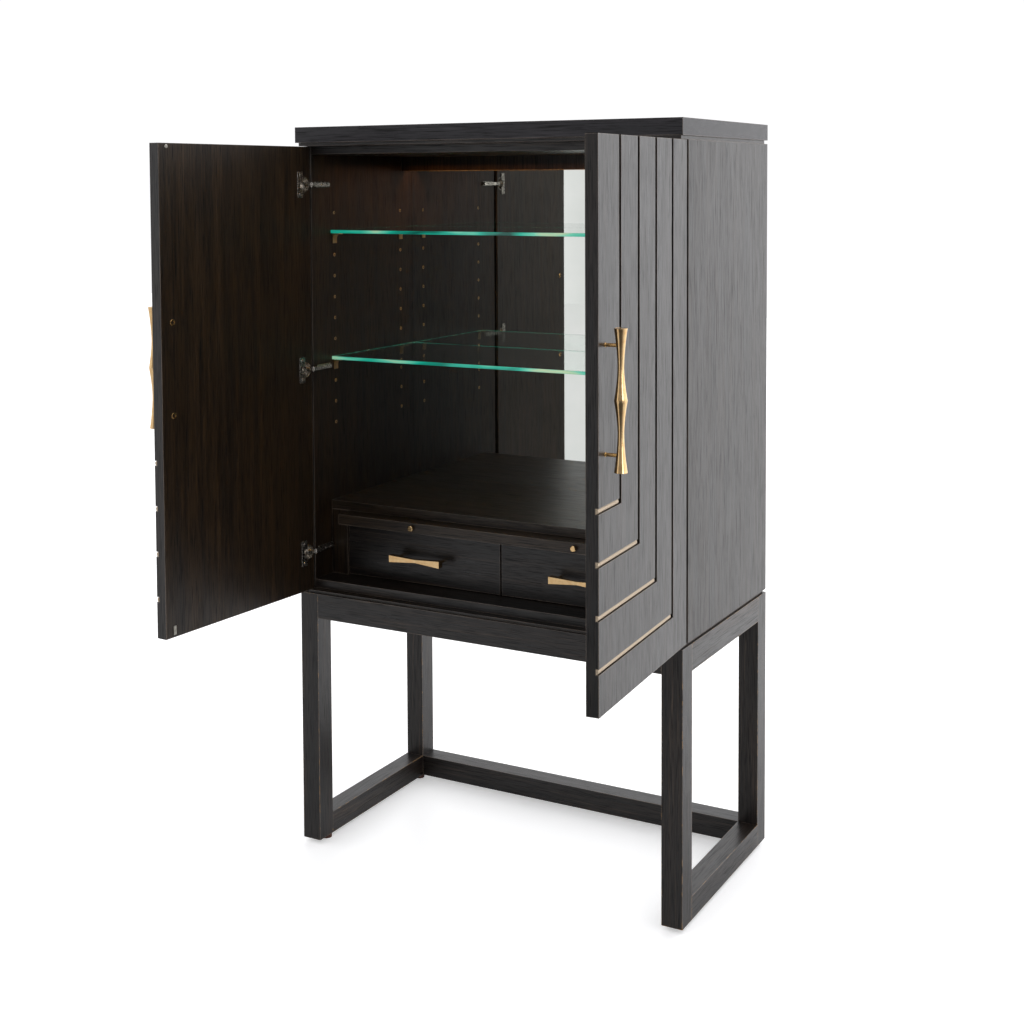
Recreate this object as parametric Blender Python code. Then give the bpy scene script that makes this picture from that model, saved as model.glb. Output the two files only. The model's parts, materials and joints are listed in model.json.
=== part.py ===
"""Drinks cabinet on an open stand, with two overlay doors, two drawers and a pull-out shelf.

Metres, +Z up.  Every size below is in the cabinet's own layout: X runs left to right,
Y runs front to back and Z is the height above the floor, with Y = 0 midway between the
front and the back of the stand.  The whole layout hangs on one empty, which puts the
world origin on the floor under the middle of the open cabinet's bounding box.
"""

import math

import bmesh
import bpy
from mathutils import Matrix, Vector

# ---------------------------------------------------------------- driving dimensions
WIDTH = 0.978                 # over the side panels, the top slab and the stand
HEIGHT = 1.710                # floor to the top of the slab
DEPTH = 0.516                 # over the top slab
GAP = 0.0003                  # between faces that touch

TOP_THICK = 0.0367
UPPER_REVEAL = 0.0075
LOWER_REVEAL = 0.0062
REVEAL_INSET = 0.006

GLIDE_HEIGHT = 0.010
GLIDE_RADIUS = 0.013
GLIDE_INSET_X = 0.033
GLIDE_INSET_Y = 0.046
LEG_WIDTH = 0.0479
LEG_DEPTH = 0.052
STAND_SETBACK = 0.003         # front of the stand, behind the front of the top slab
STAND_TOP = 0.6073
TOP_RAIL_HEIGHT = 0.0586
BASE_RAIL_HEIGHT = 0.0514

PANEL = 0.022                 # side panel thickness
CASE_SETBACK = 0.0313         # front edges of the case, behind the front of the slab
TOP_BOARD = 0.0188
BOTTOM_BOARD = 0.0205
BACK_THICK = 0.012            # stands close behind the mirror
MIRROR_THICK = 0.005
MIRROR_FROM_BACK = 0.0455     # mirror's face, in from the back of the cabinet
VALANCE_FROM_MIRROR = 0.0495
VALANCE_THICK = 0.018
VALANCE_HEIGHT = 0.037
LIGHT_END = 0.0267            # between each end of the light and the side panel
LIGHT_DEPTH = 0.014
LIGHT_HEIGHT = 0.010
LIGHT_FROM_MIRROR = 0.008

COUNTER_THICK = 0.0210
COUNTER_SETBACK = 0.0697      # front of the counter, behind the case front
STILE_WIDTH = 0.0462
STILE_THICK = 0.030
WEB_THICK = 0.006             # dust panel between the tray and the drawers
WEB_SETBACK = 0.024           # the divider stands back from the drawer fronts
DIVIDER_THICK = 0.018
UNIT_BACK_GAP = 0.0125        # from the divider and the guides to the mirror's plane

TRAY_THICK = 0.0240
TRAY_SIDE_GAP = 0.0030        # between the tray and each stile
TRAY_TOP_GAP = 0.0012
TRAY_BACK_GAP = 0.0395        # from the closed tray to the mirror's plane
TRAY_OUT = 0.043              # how far the tray stands out at rest
KNOB_RADIUS = 0.0068
KNOB_LENGTH = 0.0085

DRAWER_SIDE_GAP = 0.0010      # between a drawer front and the stile
DRAWER_MEET = 0.002           # half the gap between the two fronts
DRAWER_SETBACK = 0.004        # drawer fronts, behind the counter's front
DRAWER_FRONT_THICK = 0.019
DRAWER_FRONT_HEIGHT = 0.1275
DRAWER_FOOT_GAP = 0.0020
DRAWER_TOP_GAP = 0.0020
BOX_WALL = 0.011
BOX_BOTTOM = 0.007
BOX_DROP = 0.0325             # how much lower a box stands than its front is high
BOX_BACK_GAP = 0.0237         # from a box to the rear end of the divider
BOX_SIDE_GAP = 0.006          # between a box and the stile line or the divider

DRAWER_PULL_LENGTH = 0.137
DRAWER_PULL_END = 0.016
DRAWER_PULL_NECK = 0.007
DRAWER_PULL_UP = 0.061        # bar's centre line, above the foot of the front
DRAWER_PULL_REACH = 0.032     # front face to the bar's centre line
DRAWER_PULL_POST_RADIUS = 0.0030
DRAWER_PULL_POST_INSET = 0.011

DOOR_THICK = 0.0255
DOOR_GAP = 0.0025             # closed door to the case's front edges
DOOR_MEET = 0.001             # half the gap between the closed doors
DOOR_TOP_GAP = 0.0010
DOOR_FOOT_GAP = 0.0005
DOOR_ARRIS = 0.003            # chamfer that lets the hinge edge swing past the panel
PIVOT_IN = 0.0103             # pivot axis, in from the door's hinge edge
PIVOT_INTO = 0.0155           # pivot axis, into the door from its inner face
DOOR_REST = 93.65             # degrees open at rest

GROOVE_WIDTH = 0.0108
GROOVE_DEPTH = 0.0063
GROOVE_COUNT = 4
GROOVE_FIRST = 0.0889         # first upright groove, in from the hinge edge
GROOVE_LOWEST = 0.0840        # lowest level groove, up from the door's bottom
GROOVE_PITCH = 0.0972

DOOR_PULL_FROM_EDGE = 0.0335  # in from the free edge
DOOR_PULL_UP = 0.4428         # lower end, above the door's bottom
DOOR_PULL_LENGTH = 0.2606
DOOR_PULL_RADIUS = 0.0125
DOOR_PULL_NECK_RADIUS = 0.0060
DOOR_PULL_NECK_FROM_END = 0.0704
DOOR_PULL_REACH = 0.0295
DOOR_PULL_POST_RADIUS = 0.0035
DOOR_PULL_POST_INSET = 0.031

HINGE_COUNT = 3
HINGE_UP = 0.0908             # lowest hinge, above the door's bottom
HINGE_DOWN = 0.0888           # highest hinge, below the door's top
CUP_CENTRE = 0.0235           # in from the hinge edge
CUP_RADIUS = 0.0175
CUP_WALL = 0.0015
CUP_DEPTH = 0.0130
CUP_FLOOR = 0.0010
CUP_RIM_RADIUS = 0.0180
CUP_RIM_PROUD = 0.0012
EAR_NEAR = 0.0280
EAR_FAR = 0.0480
EAR_HEIGHT = 0.0610
EAR_PROUD = 0.0028
EAR_LIFT = 0.0001             # ears stand this far above the rim's underside
EAR_SLOT_FAR = 0.0385
EAR_SLOT_HEIGHT = 0.0170

ARM_NEAR = 0.008              # behind the case front
ARM_STILE_GAP = 0.0017        # between an arm's rear end and the lower unit
ARM_PROUD = 0.013
NOSE_INNER = 0.0355           # nose faces, in from the panel's outer face
NOSE_OUTER = 0.0280
NOSE_REACH = 0.0150           # in front of the case front
NOSE_HEIGHT = 0.0130

SHELF_THICK = 0.008
SHELF_SETBACK = 0.0747        # front edge, behind the case front
SHELF_SIDE_GAP = 0.0012
PIN_DROP = 0.139              # the highest shelf hole, below the ceiling
PIN_PITCH = 0.0508
PIN_FROM_SHELF_FRONT = 0.017
PIN_FROM_MIRROR = 0.0555
SHELF_HOLES = {"upper": 1, "lower": 7}
PAD_LENGTH = 0.020
PAD_WIDTH = 0.015
PAD_THICK = 0.0025
BRACKET_HEIGHT = 0.024
BRACKET_THICK = 0.0025
CUP_SIDES = 40                # facets round a hinge cup and its pocket

# ------------------------------------------------------------------- derived levels
HALF = WIDTH / 2
BACK = DEPTH / 2
TOP_FRONT = -DEPTH / 2
STAND_FRONT = TOP_FRONT + STAND_SETBACK
CASE_FRONT = TOP_FRONT + CASE_SETBACK
INNER = HALF - PANEL                                  # side panels' inner faces
CLEAR = INNER - GAP                                   # what fits between the panels
STILE_INNER = CLEAR - STILE_WIDTH
MIRROR_FACE = BACK - MIRROR_FROM_BACK
BACK_FRONT = MIRROR_FACE + MIRROR_THICK + GAP
BEHIND_MIRROR = BACK_FRONT - GAP
TOP_UNDER = HEIGHT - TOP_THICK
CASE_TOP = TOP_UNDER - UPPER_REVEAL
CASE_BOTTOM = STAND_TOP + LOWER_REVEAL
CASE_LOW = CASE_BOTTOM + GAP
CEILING = CASE_TOP - TOP_BOARD
FLOOR_TOP = CASE_BOTTOM + BOTTOM_BOARD
RAIL_LOW = GLIDE_HEIGHT + GAP
COUNTER_FRONT = CASE_FRONT + COUNTER_SETBACK
DRAWER_FACE = COUNTER_FRONT + DRAWER_SETBACK
DRAWER_LOW = FLOOR_TOP + DRAWER_FOOT_GAP
DRAWER_HIGH = DRAWER_LOW + DRAWER_FRONT_HEIGHT
DRAWER_CENTRE = (DRAWER_MEET + STILE_INNER - DRAWER_SIDE_GAP) / 2
WEB_TOP = DRAWER_HIGH + DRAWER_TOP_GAP
WEB_UNDER = WEB_TOP - WEB_THICK
TRAY_LOW = WEB_TOP + GAP
COUNTER_UNDER = TRAY_LOW + TRAY_THICK + TRAY_TOP_GAP
COUNTER_TOP = COUNTER_UNDER + COUNTER_THICK
UNIT_BACK = MIRROR_FACE - UNIT_BACK_GAP
DOOR_WIDTH = HALF - DOOR_MEET
DOOR_BOTTOM = CASE_BOTTOM + DOOR_FOOT_GAP
DOOR_TOP = CASE_TOP - DOOR_TOP_GAP
DOOR_PULL_ALONG = DOOR_WIDTH - DOOR_PULL_FROM_EDGE
DOOR_PULL_LOW = DOOR_BOTTOM + DOOR_PULL_UP
HINGE_LOWEST = DOOR_BOTTOM + HINGE_UP
HINGE_STEP = (DOOR_TOP - HINGE_DOWN - HINGE_LOWEST) / (HINGE_COUNT - 1)
HINGE_HEIGHTS = [HINGE_LOWEST + k * HINGE_STEP for k in range(HINGE_COUNT)]
PIVOT_X = HALF - PIVOT_IN
PIVOT_Y = CASE_FRONT - DOOR_GAP - PIVOT_INTO
REST_ANGLE = math.radians(DOOR_REST)
DOOR_REACH = (DOOR_WIDTH - PIVOT_IN) * math.sin(REST_ANGLE) - PIVOT_INTO * math.cos(REST_ANGLE)
ORIGIN_Y = (BACK + PIVOT_Y - DOOR_REACH) / 2
ARM_FAR = COUNTER_SETBACK - ARM_STILE_GAP
SHELF_FRONT = CASE_FRONT + SHELF_SETBACK
PIN_TOP = CEILING - PIN_DROP
PIN_COLUMNS = (SHELF_FRONT + PIN_FROM_SHELF_FRONT, MIRROR_FACE - PIN_FROM_MIRROR)

# ------------------------------------------------------------------------- materials
PAINTS = {
    "black_ash": ("#2a292b", 0.45, 0.0),
    "dark_interior": ("#2c241d", 0.50, 0.0),
    "brass": ("#b89a63", 0.30, 1.0),
    "nickel": ("#c9c6c0", 0.25, 1.0),
    "mirror": ("#dfe3e1", 0.03, 1.0),
    "glass": ("#cfe6dc", 0.05, 0.0),
    "light_metal": ("#c8c2b4", 0.35, 1.0),
    "glide_plastic": ("#6e4437", 0.55, 0.0),
    "drawer_wood": ("#8c6a48", 0.55, 0.0),
}


def srgb(code):
    """Linear RGBA of an sRGB hex colour."""
    channels = [int(code[i:i + 2], 16) / 255 for i in (1, 3, 5)]
    return [c / 12.92 if c <= 0.04045 else ((c + 0.055) / 1.055) ** 2.4 for c in channels] + [1.0]


def paint(name, kind):
    """A Principled material of one kind, named for the piece that wears it."""
    code, roughness, metallic = PAINTS[kind]
    material = bpy.data.materials.new(kind + "_" + name)
    material.use_nodes = True
    shader = material.node_tree.nodes["Principled BSDF"]
    shader.inputs["Base Color"].default_value = srgb(code)
    shader.inputs["Roughness"].default_value = roughness
    shader.inputs["Metallic"].default_value = metallic
    material.diffuse_color = srgb(code)
    return material


# ----------------------------------------------------------------- modelling helpers
def add_box(bm, x, y, z):
    """A box from three (low, high) spans, given in any order."""
    spans = [sorted(span) for span in (x, y, z)]
    centre = Vector([(low + high) / 2 for low, high in spans])
    size = Matrix.Diagonal([high - low for low, high in spans] + [1.0])
    bmesh.ops.create_cube(bm, size=1.0, matrix=Matrix.Translation(centre) @ size)


def add_prism(bm, outline, place, low, high):
    """A flat outline pushed from low to high; place turns (u, v, w) into a point."""
    bottom = [bm.verts.new(place(u, v, low)) for u, v in outline]
    top = [bm.verts.new(place(u, v, high)) for u, v in outline]
    bm.faces.new(bottom)
    bm.faces.new(list(reversed(top)))
    for i in range(len(outline)):
        j = (i + 1) % len(outline)
        bm.faces.new([bottom[j], bottom[i], top[i], top[j]])


def add_turned(bm, profile, place, sides):
    """A turned solid: profile is (radius, along) with radius 0 at both ends."""
    rings = []
    for radius, along in profile:
        if radius == 0.0:
            rings.append([bm.verts.new(place(0.0, 0.0, along))])
            continue
        angles = [2 * math.pi * k / sides for k in range(sides)]
        ring = [place(radius * math.cos(t), radius * math.sin(t), along) for t in angles]
        rings.append([bm.verts.new(point) for point in ring])
    for lower, upper in zip(rings, rings[1:]):
        for k in range(sides):
            n = (k + 1) % sides
            corners = [lower[k % len(lower)], lower[n % len(lower)],
                       upper[n % len(upper)], upper[k % len(upper)]]
            bm.faces.new(list(dict.fromkeys(corners)))


def cylinder_profile(radius, low, high):
    """Profile of a plain cylinder for add_turned."""
    return [(0.0, low), (radius, low), (radius, high), (0.0, high)]


def finish(bm, name, kind=None, parent=None, origin=(0.0, 0.0, 0.0), smooth=False):
    """Make the object; a piece with no kind is a cutter or a tool and stays out."""
    bmesh.ops.translate(bm, verts=bm.verts, vec=-Vector(origin))
    bmesh.ops.recalc_face_normals(bm, faces=bm.faces)
    mesh = bpy.data.meshes.new(name)
    bm.to_mesh(mesh)
    bm.free()
    if smooth:
        mesh.shade_smooth()
        mesh.set_sharp_from_angle(angle=math.radians(35))
    piece = bpy.data.objects.new(name, mesh)
    bpy.context.collection.objects.link(piece)
    piece.parent = parent
    piece.location = Vector(origin) - (PIVOTS[parent.name] if parent.name in PIVOTS else Vector())
    if kind is None:
        piece.hide_render = True
        piece.display_type = "WIRE"
    else:
        mesh.materials.append(paint(name, kind))
    return piece


def combine(piece, tool, operation):
    """Leave a Boolean with another object on a piece."""
    modifier = piece.modifiers.new(tool.name, "BOOLEAN")
    modifier.operation = operation
    modifier.solver = "EXACT"
    modifier.object = tool


def empty(name, parent=None, location=(0.0, 0.0, 0.0), turn=0.0):
    """An empty that carries pieces; turn is about Z, in radians."""
    holder = bpy.data.objects.new(name, None)
    bpy.context.collection.objects.link(holder)
    holder.parent = parent
    holder.location = location
    holder.rotation_euler = (0.0, 0.0, turn)
    return holder


def board(name, kind, parent, x, y, z):
    """One plain rectangular board."""
    bm = bmesh.new()
    add_box(bm, x, y, z)
    return finish(bm, name, kind, parent)


# --------------------------------------------------------------------------- the stand
def build_stand(cabinet):
    """Four legs on glides, a rail on every side at the top, three rails at the base."""
    inner_x = HALF - LEG_WIDTH - GAP
    front_in = STAND_FRONT + LEG_DEPTH + GAP
    back_in = BACK - LEG_DEPTH - GAP
    for side, word in ((-1, "left"), (1, "right")):
        span = (side * HALF, side * (HALF - LEG_WIDTH))
        for front, end in ((STAND_FRONT, "front"), (BACK - LEG_DEPTH, "rear")):
            board(f"leg_{end}_{word}", "black_ash", cabinet, span,
                  (front, front + LEG_DEPTH), (RAIL_LOW, STAND_TOP))
        board(f"top_rail_{word}", "black_ash", cabinet, span, (front_in, back_in),
              (STAND_TOP - TOP_RAIL_HEIGHT, STAND_TOP))
        board(f"base_rail_{word}", "black_ash", cabinet, span, (front_in, back_in),
              (RAIL_LOW, RAIL_LOW + BASE_RAIL_HEIGHT))
        for y, end in ((STAND_FRONT + GLIDE_INSET_Y, "front"), (BACK - GLIDE_INSET_Y, "rear")):
            bm = bmesh.new()
            x = side * (HALF - GLIDE_INSET_X)
            add_turned(bm, cylinder_profile(GLIDE_RADIUS, 0.0, GLIDE_HEIGHT),
                       lambda u, v, w, x=x, y=y: (x + u, y + v, w), 24)
            finish(bm, f"glide_{end}_{word}", "glide_plastic", cabinet, smooth=True)
    board("top_rail_front", "black_ash", cabinet, (-inner_x, inner_x),
          (STAND_FRONT, STAND_FRONT + LEG_DEPTH), (STAND_TOP - TOP_RAIL_HEIGHT, STAND_TOP))
    board("top_rail_rear", "black_ash", cabinet, (-inner_x, inner_x),
          (BACK - LEG_DEPTH, BACK), (STAND_TOP - TOP_RAIL_HEIGHT, STAND_TOP))
    board("base_rail_rear", "black_ash", cabinet, (-inner_x, inner_x),
          (BACK - LEG_DEPTH, BACK), (RAIL_LOW, RAIL_LOW + BASE_RAIL_HEIGHT))
    board("lower_reveal", "black_ash", cabinet, (-HALF + REVEAL_INSET, HALF - REVEAL_INSET),
          (STAND_FRONT + REVEAL_INSET, BACK - REVEAL_INSET), (STAND_TOP + GAP, CASE_BOTTOM))


# ---------------------------------------------------------------------------- the case
def shelf_level(hole):
    """Underside of a glass shelf whose brackets hang in a hole, counted from the top."""
    return PIN_TOP - hole * PIN_PITCH + PAD_THICK / 2


def add_bracket(bm, side, y, top):
    """An L-shaped shelf bracket with a gusset, growing out of a side panel."""
    wall = INNER + GAP
    outline = [(wall, top), (wall - PAD_LENGTH, top), (wall - PAD_LENGTH, top - PAD_THICK),
               (wall - BRACKET_THICK, top - BRACKET_HEIGHT / 2 - PAD_THICK),
               (wall - BRACKET_THICK, top - BRACKET_HEIGHT), (wall, top - BRACKET_HEIGHT)]
    add_prism(bm, outline, lambda u, v, w: (side * u, w, v), y - PAD_WIDTH / 2, y + PAD_WIDTH / 2)


def build_case(cabinet):
    """The carcass and its top slab, the back and mirror, the light and the glass shelves."""
    for side, word in ((-1, "left"), (1, "right")):
        panel = board(f"side_panel_{word}", "black_ash", cabinet, (side * INNER, side * HALF),
                      (CASE_FRONT, BACK), (CASE_LOW, CASE_TOP))
        for shelf, hole in SHELF_HOLES.items():
            for end, y in zip(("front", "rear"), PIN_COLUMNS):
                bm = bmesh.new()
                add_bracket(bm, side, y, shelf_level(hole))
                tool = finish(bm, f"tool_bracket_{shelf}_{end}_{word}", None, cabinet)
                combine(panel, tool, "UNION")
    board("top_board", "black_ash", cabinet, (-CLEAR, CLEAR), (CASE_FRONT, BEHIND_MIRROR),
          (CEILING, CASE_TOP))
    board("bottom_board", "black_ash", cabinet, (-CLEAR, CLEAR), (CASE_FRONT, BEHIND_MIRROR),
          (CASE_LOW, FLOOR_TOP))
    board("back_panel", "dark_interior", cabinet, (-CLEAR, CLEAR),
          (BACK_FRONT, BACK_FRONT + BACK_THICK), (CASE_LOW, CASE_TOP))
    board("upper_reveal", "black_ash", cabinet, (-HALF + REVEAL_INSET, HALF - REVEAL_INSET),
          (TOP_FRONT + REVEAL_INSET, BACK - REVEAL_INSET), (CASE_TOP + GAP, TOP_UNDER))
    board("cabinet_top", "black_ash", cabinet, (-HALF, HALF), (TOP_FRONT, BACK),
          (TOP_UNDER + GAP, HEIGHT))
    board("mirror", "mirror", cabinet, (-CLEAR, CLEAR),
          (MIRROR_FACE, MIRROR_FACE + MIRROR_THICK), (COUNTER_UNDER, CEILING - GAP))
    valance_front = MIRROR_FACE - VALANCE_FROM_MIRROR
    board("light_valance", "dark_interior", cabinet, (-CLEAR, CLEAR),
          (valance_front, valance_front + VALANCE_THICK), (CEILING - GAP - VALANCE_HEIGHT, CEILING - GAP))
    light_back = MIRROR_FACE - LIGHT_FROM_MIRROR
    board("light_bar", "light_metal", cabinet, (-INNER + LIGHT_END, INNER - LIGHT_END),
          (light_back - LIGHT_DEPTH, light_back), (CEILING - GAP - LIGHT_HEIGHT, CEILING - GAP))
    for shelf, hole in SHELF_HOLES.items():
        under = shelf_level(hole) + GAP
        board(f"glass_shelf_{shelf}", "glass", cabinet, (-INNER + SHELF_SIDE_GAP, INNER - SHELF_SIDE_GAP),
              (SHELF_FRONT, MIRROR_FACE - GAP), (under, under + SHELF_THICK))


# ------------------------------------------------------- counter, tray and the drawers
def build_lower_unit(cabinet):
    """The counter over a pull-out tray, over two drawers side by side."""
    behind_stile = COUNTER_FRONT + STILE_THICK + GAP
    board("counter", "black_ash", cabinet, (-CLEAR, CLEAR), (COUNTER_FRONT, MIRROR_FACE - GAP),
          (COUNTER_UNDER, COUNTER_TOP))
    board("dust_panel", "dark_interior", cabinet, (-CLEAR, CLEAR),
          (behind_stile, MIRROR_FACE - GAP), (WEB_UNDER, WEB_TOP))
    board("drawer_divider", "dark_interior", cabinet, (-DIVIDER_THICK / 2, DIVIDER_THICK / 2),
          (DRAWER_FACE + WEB_SETBACK, UNIT_BACK), (FLOOR_TOP + GAP, WEB_UNDER - GAP))
    for side, word in ((-1, "left"), (1, "right")):
        board(f"stile_{word}", "black_ash", cabinet, (side * STILE_INNER, side * CLEAR),
              (COUNTER_FRONT, COUNTER_FRONT + STILE_THICK), (FLOOR_TOP + GAP, COUNTER_UNDER - GAP))
        board(f"drawer_guide_{word}", "dark_interior", cabinet, (side * STILE_INNER, side * CLEAR),
              (behind_stile, UNIT_BACK), (FLOOR_TOP + GAP, WEB_UNDER - GAP))


def build_tray(tray):
    """A flat pull-out shelf with two small knobs over the drawer pulls."""
    face = COUNTER_FRONT
    half = STILE_INNER - TRAY_SIDE_GAP
    board("tray", "black_ash", tray, (-half, half), (face, MIRROR_FACE - TRAY_BACK_GAP),
          (TRAY_LOW, TRAY_LOW + TRAY_THICK))
    z = TRAY_LOW + TRAY_THICK / 2
    shape = ((0.0, 0.0), (0.62, 0.0), (0.62, 0.35), (1.0, 0.45), (1.0, 0.86), (0.8, 1.0), (0.0, 1.0))
    profile = [(r * KNOB_RADIUS, face - GAP - out * KNOB_LENGTH) for r, out in shape]
    for side, word in ((-1, "left"), (1, "right")):
        x = side * DRAWER_CENTRE
        bm = bmesh.new()
        add_turned(bm, profile, lambda u, v, w, x=x: (x + u, w, z + v), 24)
        finish(bm, f"tray_knob_{word}", "brass", tray, smooth=True)


def build_drawer(drawer, side, word):
    """A drawer front with its faceted pull, and the open box behind it."""
    back = DRAWER_FACE + DRAWER_FRONT_THICK
    board(f"drawer_front_{word}", "black_ash", drawer,
          (side * DRAWER_MEET, side * (STILE_INNER - DRAWER_SIDE_GAP)),
          (DRAWER_FACE, back), (DRAWER_LOW, DRAWER_HIGH))
    near = DIVIDER_THICK / 2 + BOX_SIDE_GAP
    far = STILE_INNER - BOX_SIDE_GAP
    front, rear = back + GAP, UNIT_BACK - BOX_BACK_GAP
    low = FLOOR_TOP + GAP
    high = low + DRAWER_FRONT_HEIGHT - BOX_DROP
    bm = bmesh.new()
    add_box(bm, (side * near, side * far), (front, rear), (low, high))
    box = finish(bm, f"drawer_box_{word}", "drawer_wood", drawer)
    bm = bmesh.new()
    add_box(bm, (side * (near + BOX_WALL), side * (far - BOX_WALL)),
            (front + BOX_WALL, rear - BOX_WALL), (low + BOX_BOTTOM, high + BOX_WALL))
    combine(box, finish(bm, f"cutter_drawer_box_{word}", None, drawer), "DIFFERENCE")
    build_drawer_pull(drawer, side, word)


def build_drawer_pull(drawer, side, word):
    """A square bar that narrows to its middle, on two round posts."""
    x = side * DRAWER_CENTRE
    y = DRAWER_FACE - DRAWER_PULL_REACH
    z = DRAWER_LOW + DRAWER_PULL_UP
    half = DRAWER_PULL_LENGTH / 2
    stations = ((-half, DRAWER_PULL_END), (0.0, DRAWER_PULL_NECK), (half, DRAWER_PULL_END))
    bm = bmesh.new()
    rings = []
    for along, size in stations:
        h = size / 2
        corners = ((-h, -h), (h, -h), (h, h), (-h, h))
        rings.append([bm.verts.new((x + along, y + u, z + v)) for u, v in corners])
    bm.faces.new(rings[0])
    bm.faces.new(list(reversed(rings[-1])))
    for lower, upper in zip(rings, rings[1:]):
        for k in range(4):
            n = (k + 1) % 4
            bm.faces.new([lower[k], lower[n], upper[n], upper[k]])
    pull = finish(bm, f"drawer_pull_{word}", "brass", drawer)
    bm = bmesh.new()
    for end in (-1, 1):
        post_x = x + end * (half - DRAWER_PULL_POST_INSET)
        add_turned(bm, cylinder_profile(DRAWER_PULL_POST_RADIUS, y, DRAWER_FACE - GAP),
                   lambda u, v, w, px=post_x: (px + u, w, z + v), 16)
    combine(pull, finish(bm, f"tool_drawer_pull_posts_{word}", None, drawer), "UNION")


# --------------------------------------------------------------------------- the doors
def door_point(side, along, into, z):
    """A point of the closed door: along from its hinge edge, into it from its inner face."""
    return (side * (HALF - along), CASE_FRONT - DOOR_GAP - into, z)


def build_door(door, side, word):
    """An overlay door with nested L-shaped grooves and three hinge pockets."""
    def place(u, v, w):
        return door_point(side, u, v, w)

    outline = [(DOOR_ARRIS, 0.0), (DOOR_WIDTH, 0.0), (DOOR_WIDTH, DOOR_THICK), (0.0, DOOR_THICK),
               (0.0, DOOR_ARRIS)]
    bm = bmesh.new()
    add_prism(bm, outline, place, DOOR_BOTTOM, DOOR_TOP)
    leaf = finish(bm, f"door_{word}", "black_ash", door)
    spill = 0.005
    half = GROOVE_WIDTH / 2
    for k in range(GROOVE_COUNT):
        along = GROOVE_FIRST + k * GROOVE_PITCH
        level = DOOR_BOTTOM + GROOVE_LOWEST + k * GROOVE_PITCH
        corner = [(along - half, level - half), (DOOR_WIDTH + spill, level - half),
                  (DOOR_WIDTH + spill, level + half), (along + half, level + half),
                  (along + half, DOOR_TOP + spill), (along - half, DOOR_TOP + spill)]
        bm = bmesh.new()
        add_prism(bm, corner, lambda u, v, w: door_point(side, u, w, v),
                  DOOR_THICK - GROOVE_DEPTH, DOOR_THICK + spill)
        combine(leaf, finish(bm, f"cutter_groove_{k}_{word}", None, door), "DIFFERENCE")
    for k, z in enumerate(HINGE_HEIGHTS):
        bm = bmesh.new()
        pocket = cylinder_profile(CUP_RADIUS + GAP, -spill, CUP_DEPTH + CUP_FLOOR + GAP)
        add_turned(bm, pocket, lambda u, v, w, z=z: place(CUP_CENTRE + u, w, z + v), CUP_SIDES)
        combine(leaf, finish(bm, f"cutter_pocket_{k}_{word}", None, door), "DIFFERENCE")
        build_hinge_cup(door, side, word, k, z)
    build_door_pull(door, side, word)


def build_hinge_cup(door, side, word, index, z):
    """The cup let into the door, with its rim and the two screwed ears."""
    def place(u, v, w):
        return door_point(side, CUP_CENTRE + u, w, z + v)

    bottom = CUP_DEPTH + CUP_FLOOR
    profile = [(0.0, -CUP_RIM_PROUD), (CUP_RIM_RADIUS, -CUP_RIM_PROUD), (CUP_RIM_RADIUS, -GAP),
               (CUP_RADIUS, -GAP), (CUP_RADIUS, bottom), (0.0, bottom)]
    bm = bmesh.new()
    add_turned(bm, profile, place, CUP_SIDES)
    cup = finish(bm, f"hinge_cup_{word}_{index + 1}", "nickel", door, smooth=True)
    tall, slot = EAR_HEIGHT / 2, EAR_SLOT_HEIGHT / 2
    ears = [(EAR_NEAR, -tall), (EAR_FAR, -tall), (EAR_FAR, tall), (EAR_NEAR, tall),
            (EAR_NEAR, slot), (EAR_SLOT_FAR, slot), (EAR_SLOT_FAR, -slot), (EAR_NEAR, -slot)]
    bm = bmesh.new()
    add_prism(bm, ears, lambda u, v, w: door_point(side, u, w, z + v), -EAR_PROUD, -GAP - EAR_LIFT)
    combine(cup, finish(bm, f"tool_ears_{word}_{index}", None, door), "UNION")
    bm = bmesh.new()
    add_turned(bm, cylinder_profile(CUP_RADIUS - CUP_WALL, -2 * EAR_PROUD, CUP_DEPTH), place, CUP_SIDES)
    combine(cup, finish(bm, f"cutter_cup_{word}_{index}", None, door), "DIFFERENCE")


def build_hinge_arm(cabinet, side, word, index, z):
    """The arm screwed to the side panel; its nose enters the cup as the door closes."""
    inner = PANEL + GAP
    outline = [(inner, ARM_FAR), (inner, ARM_NEAR), (NOSE_OUTER, 0.0), (NOSE_OUTER, -NOSE_REACH),
               (NOSE_INNER, -NOSE_REACH), (NOSE_INNER, ARM_NEAR), (PANEL + ARM_PROUD, ARM_NEAR),
               (PANEL + ARM_PROUD, ARM_FAR)]
    bm = bmesh.new()
    add_prism(bm, outline, lambda u, v, w: (side * (HALF - u), CASE_FRONT + v, w),
              z - NOSE_HEIGHT / 2, z + NOSE_HEIGHT / 2)
    finish(bm, f"hinge_arm_{word}_{index + 1}", "nickel", cabinet)


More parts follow.
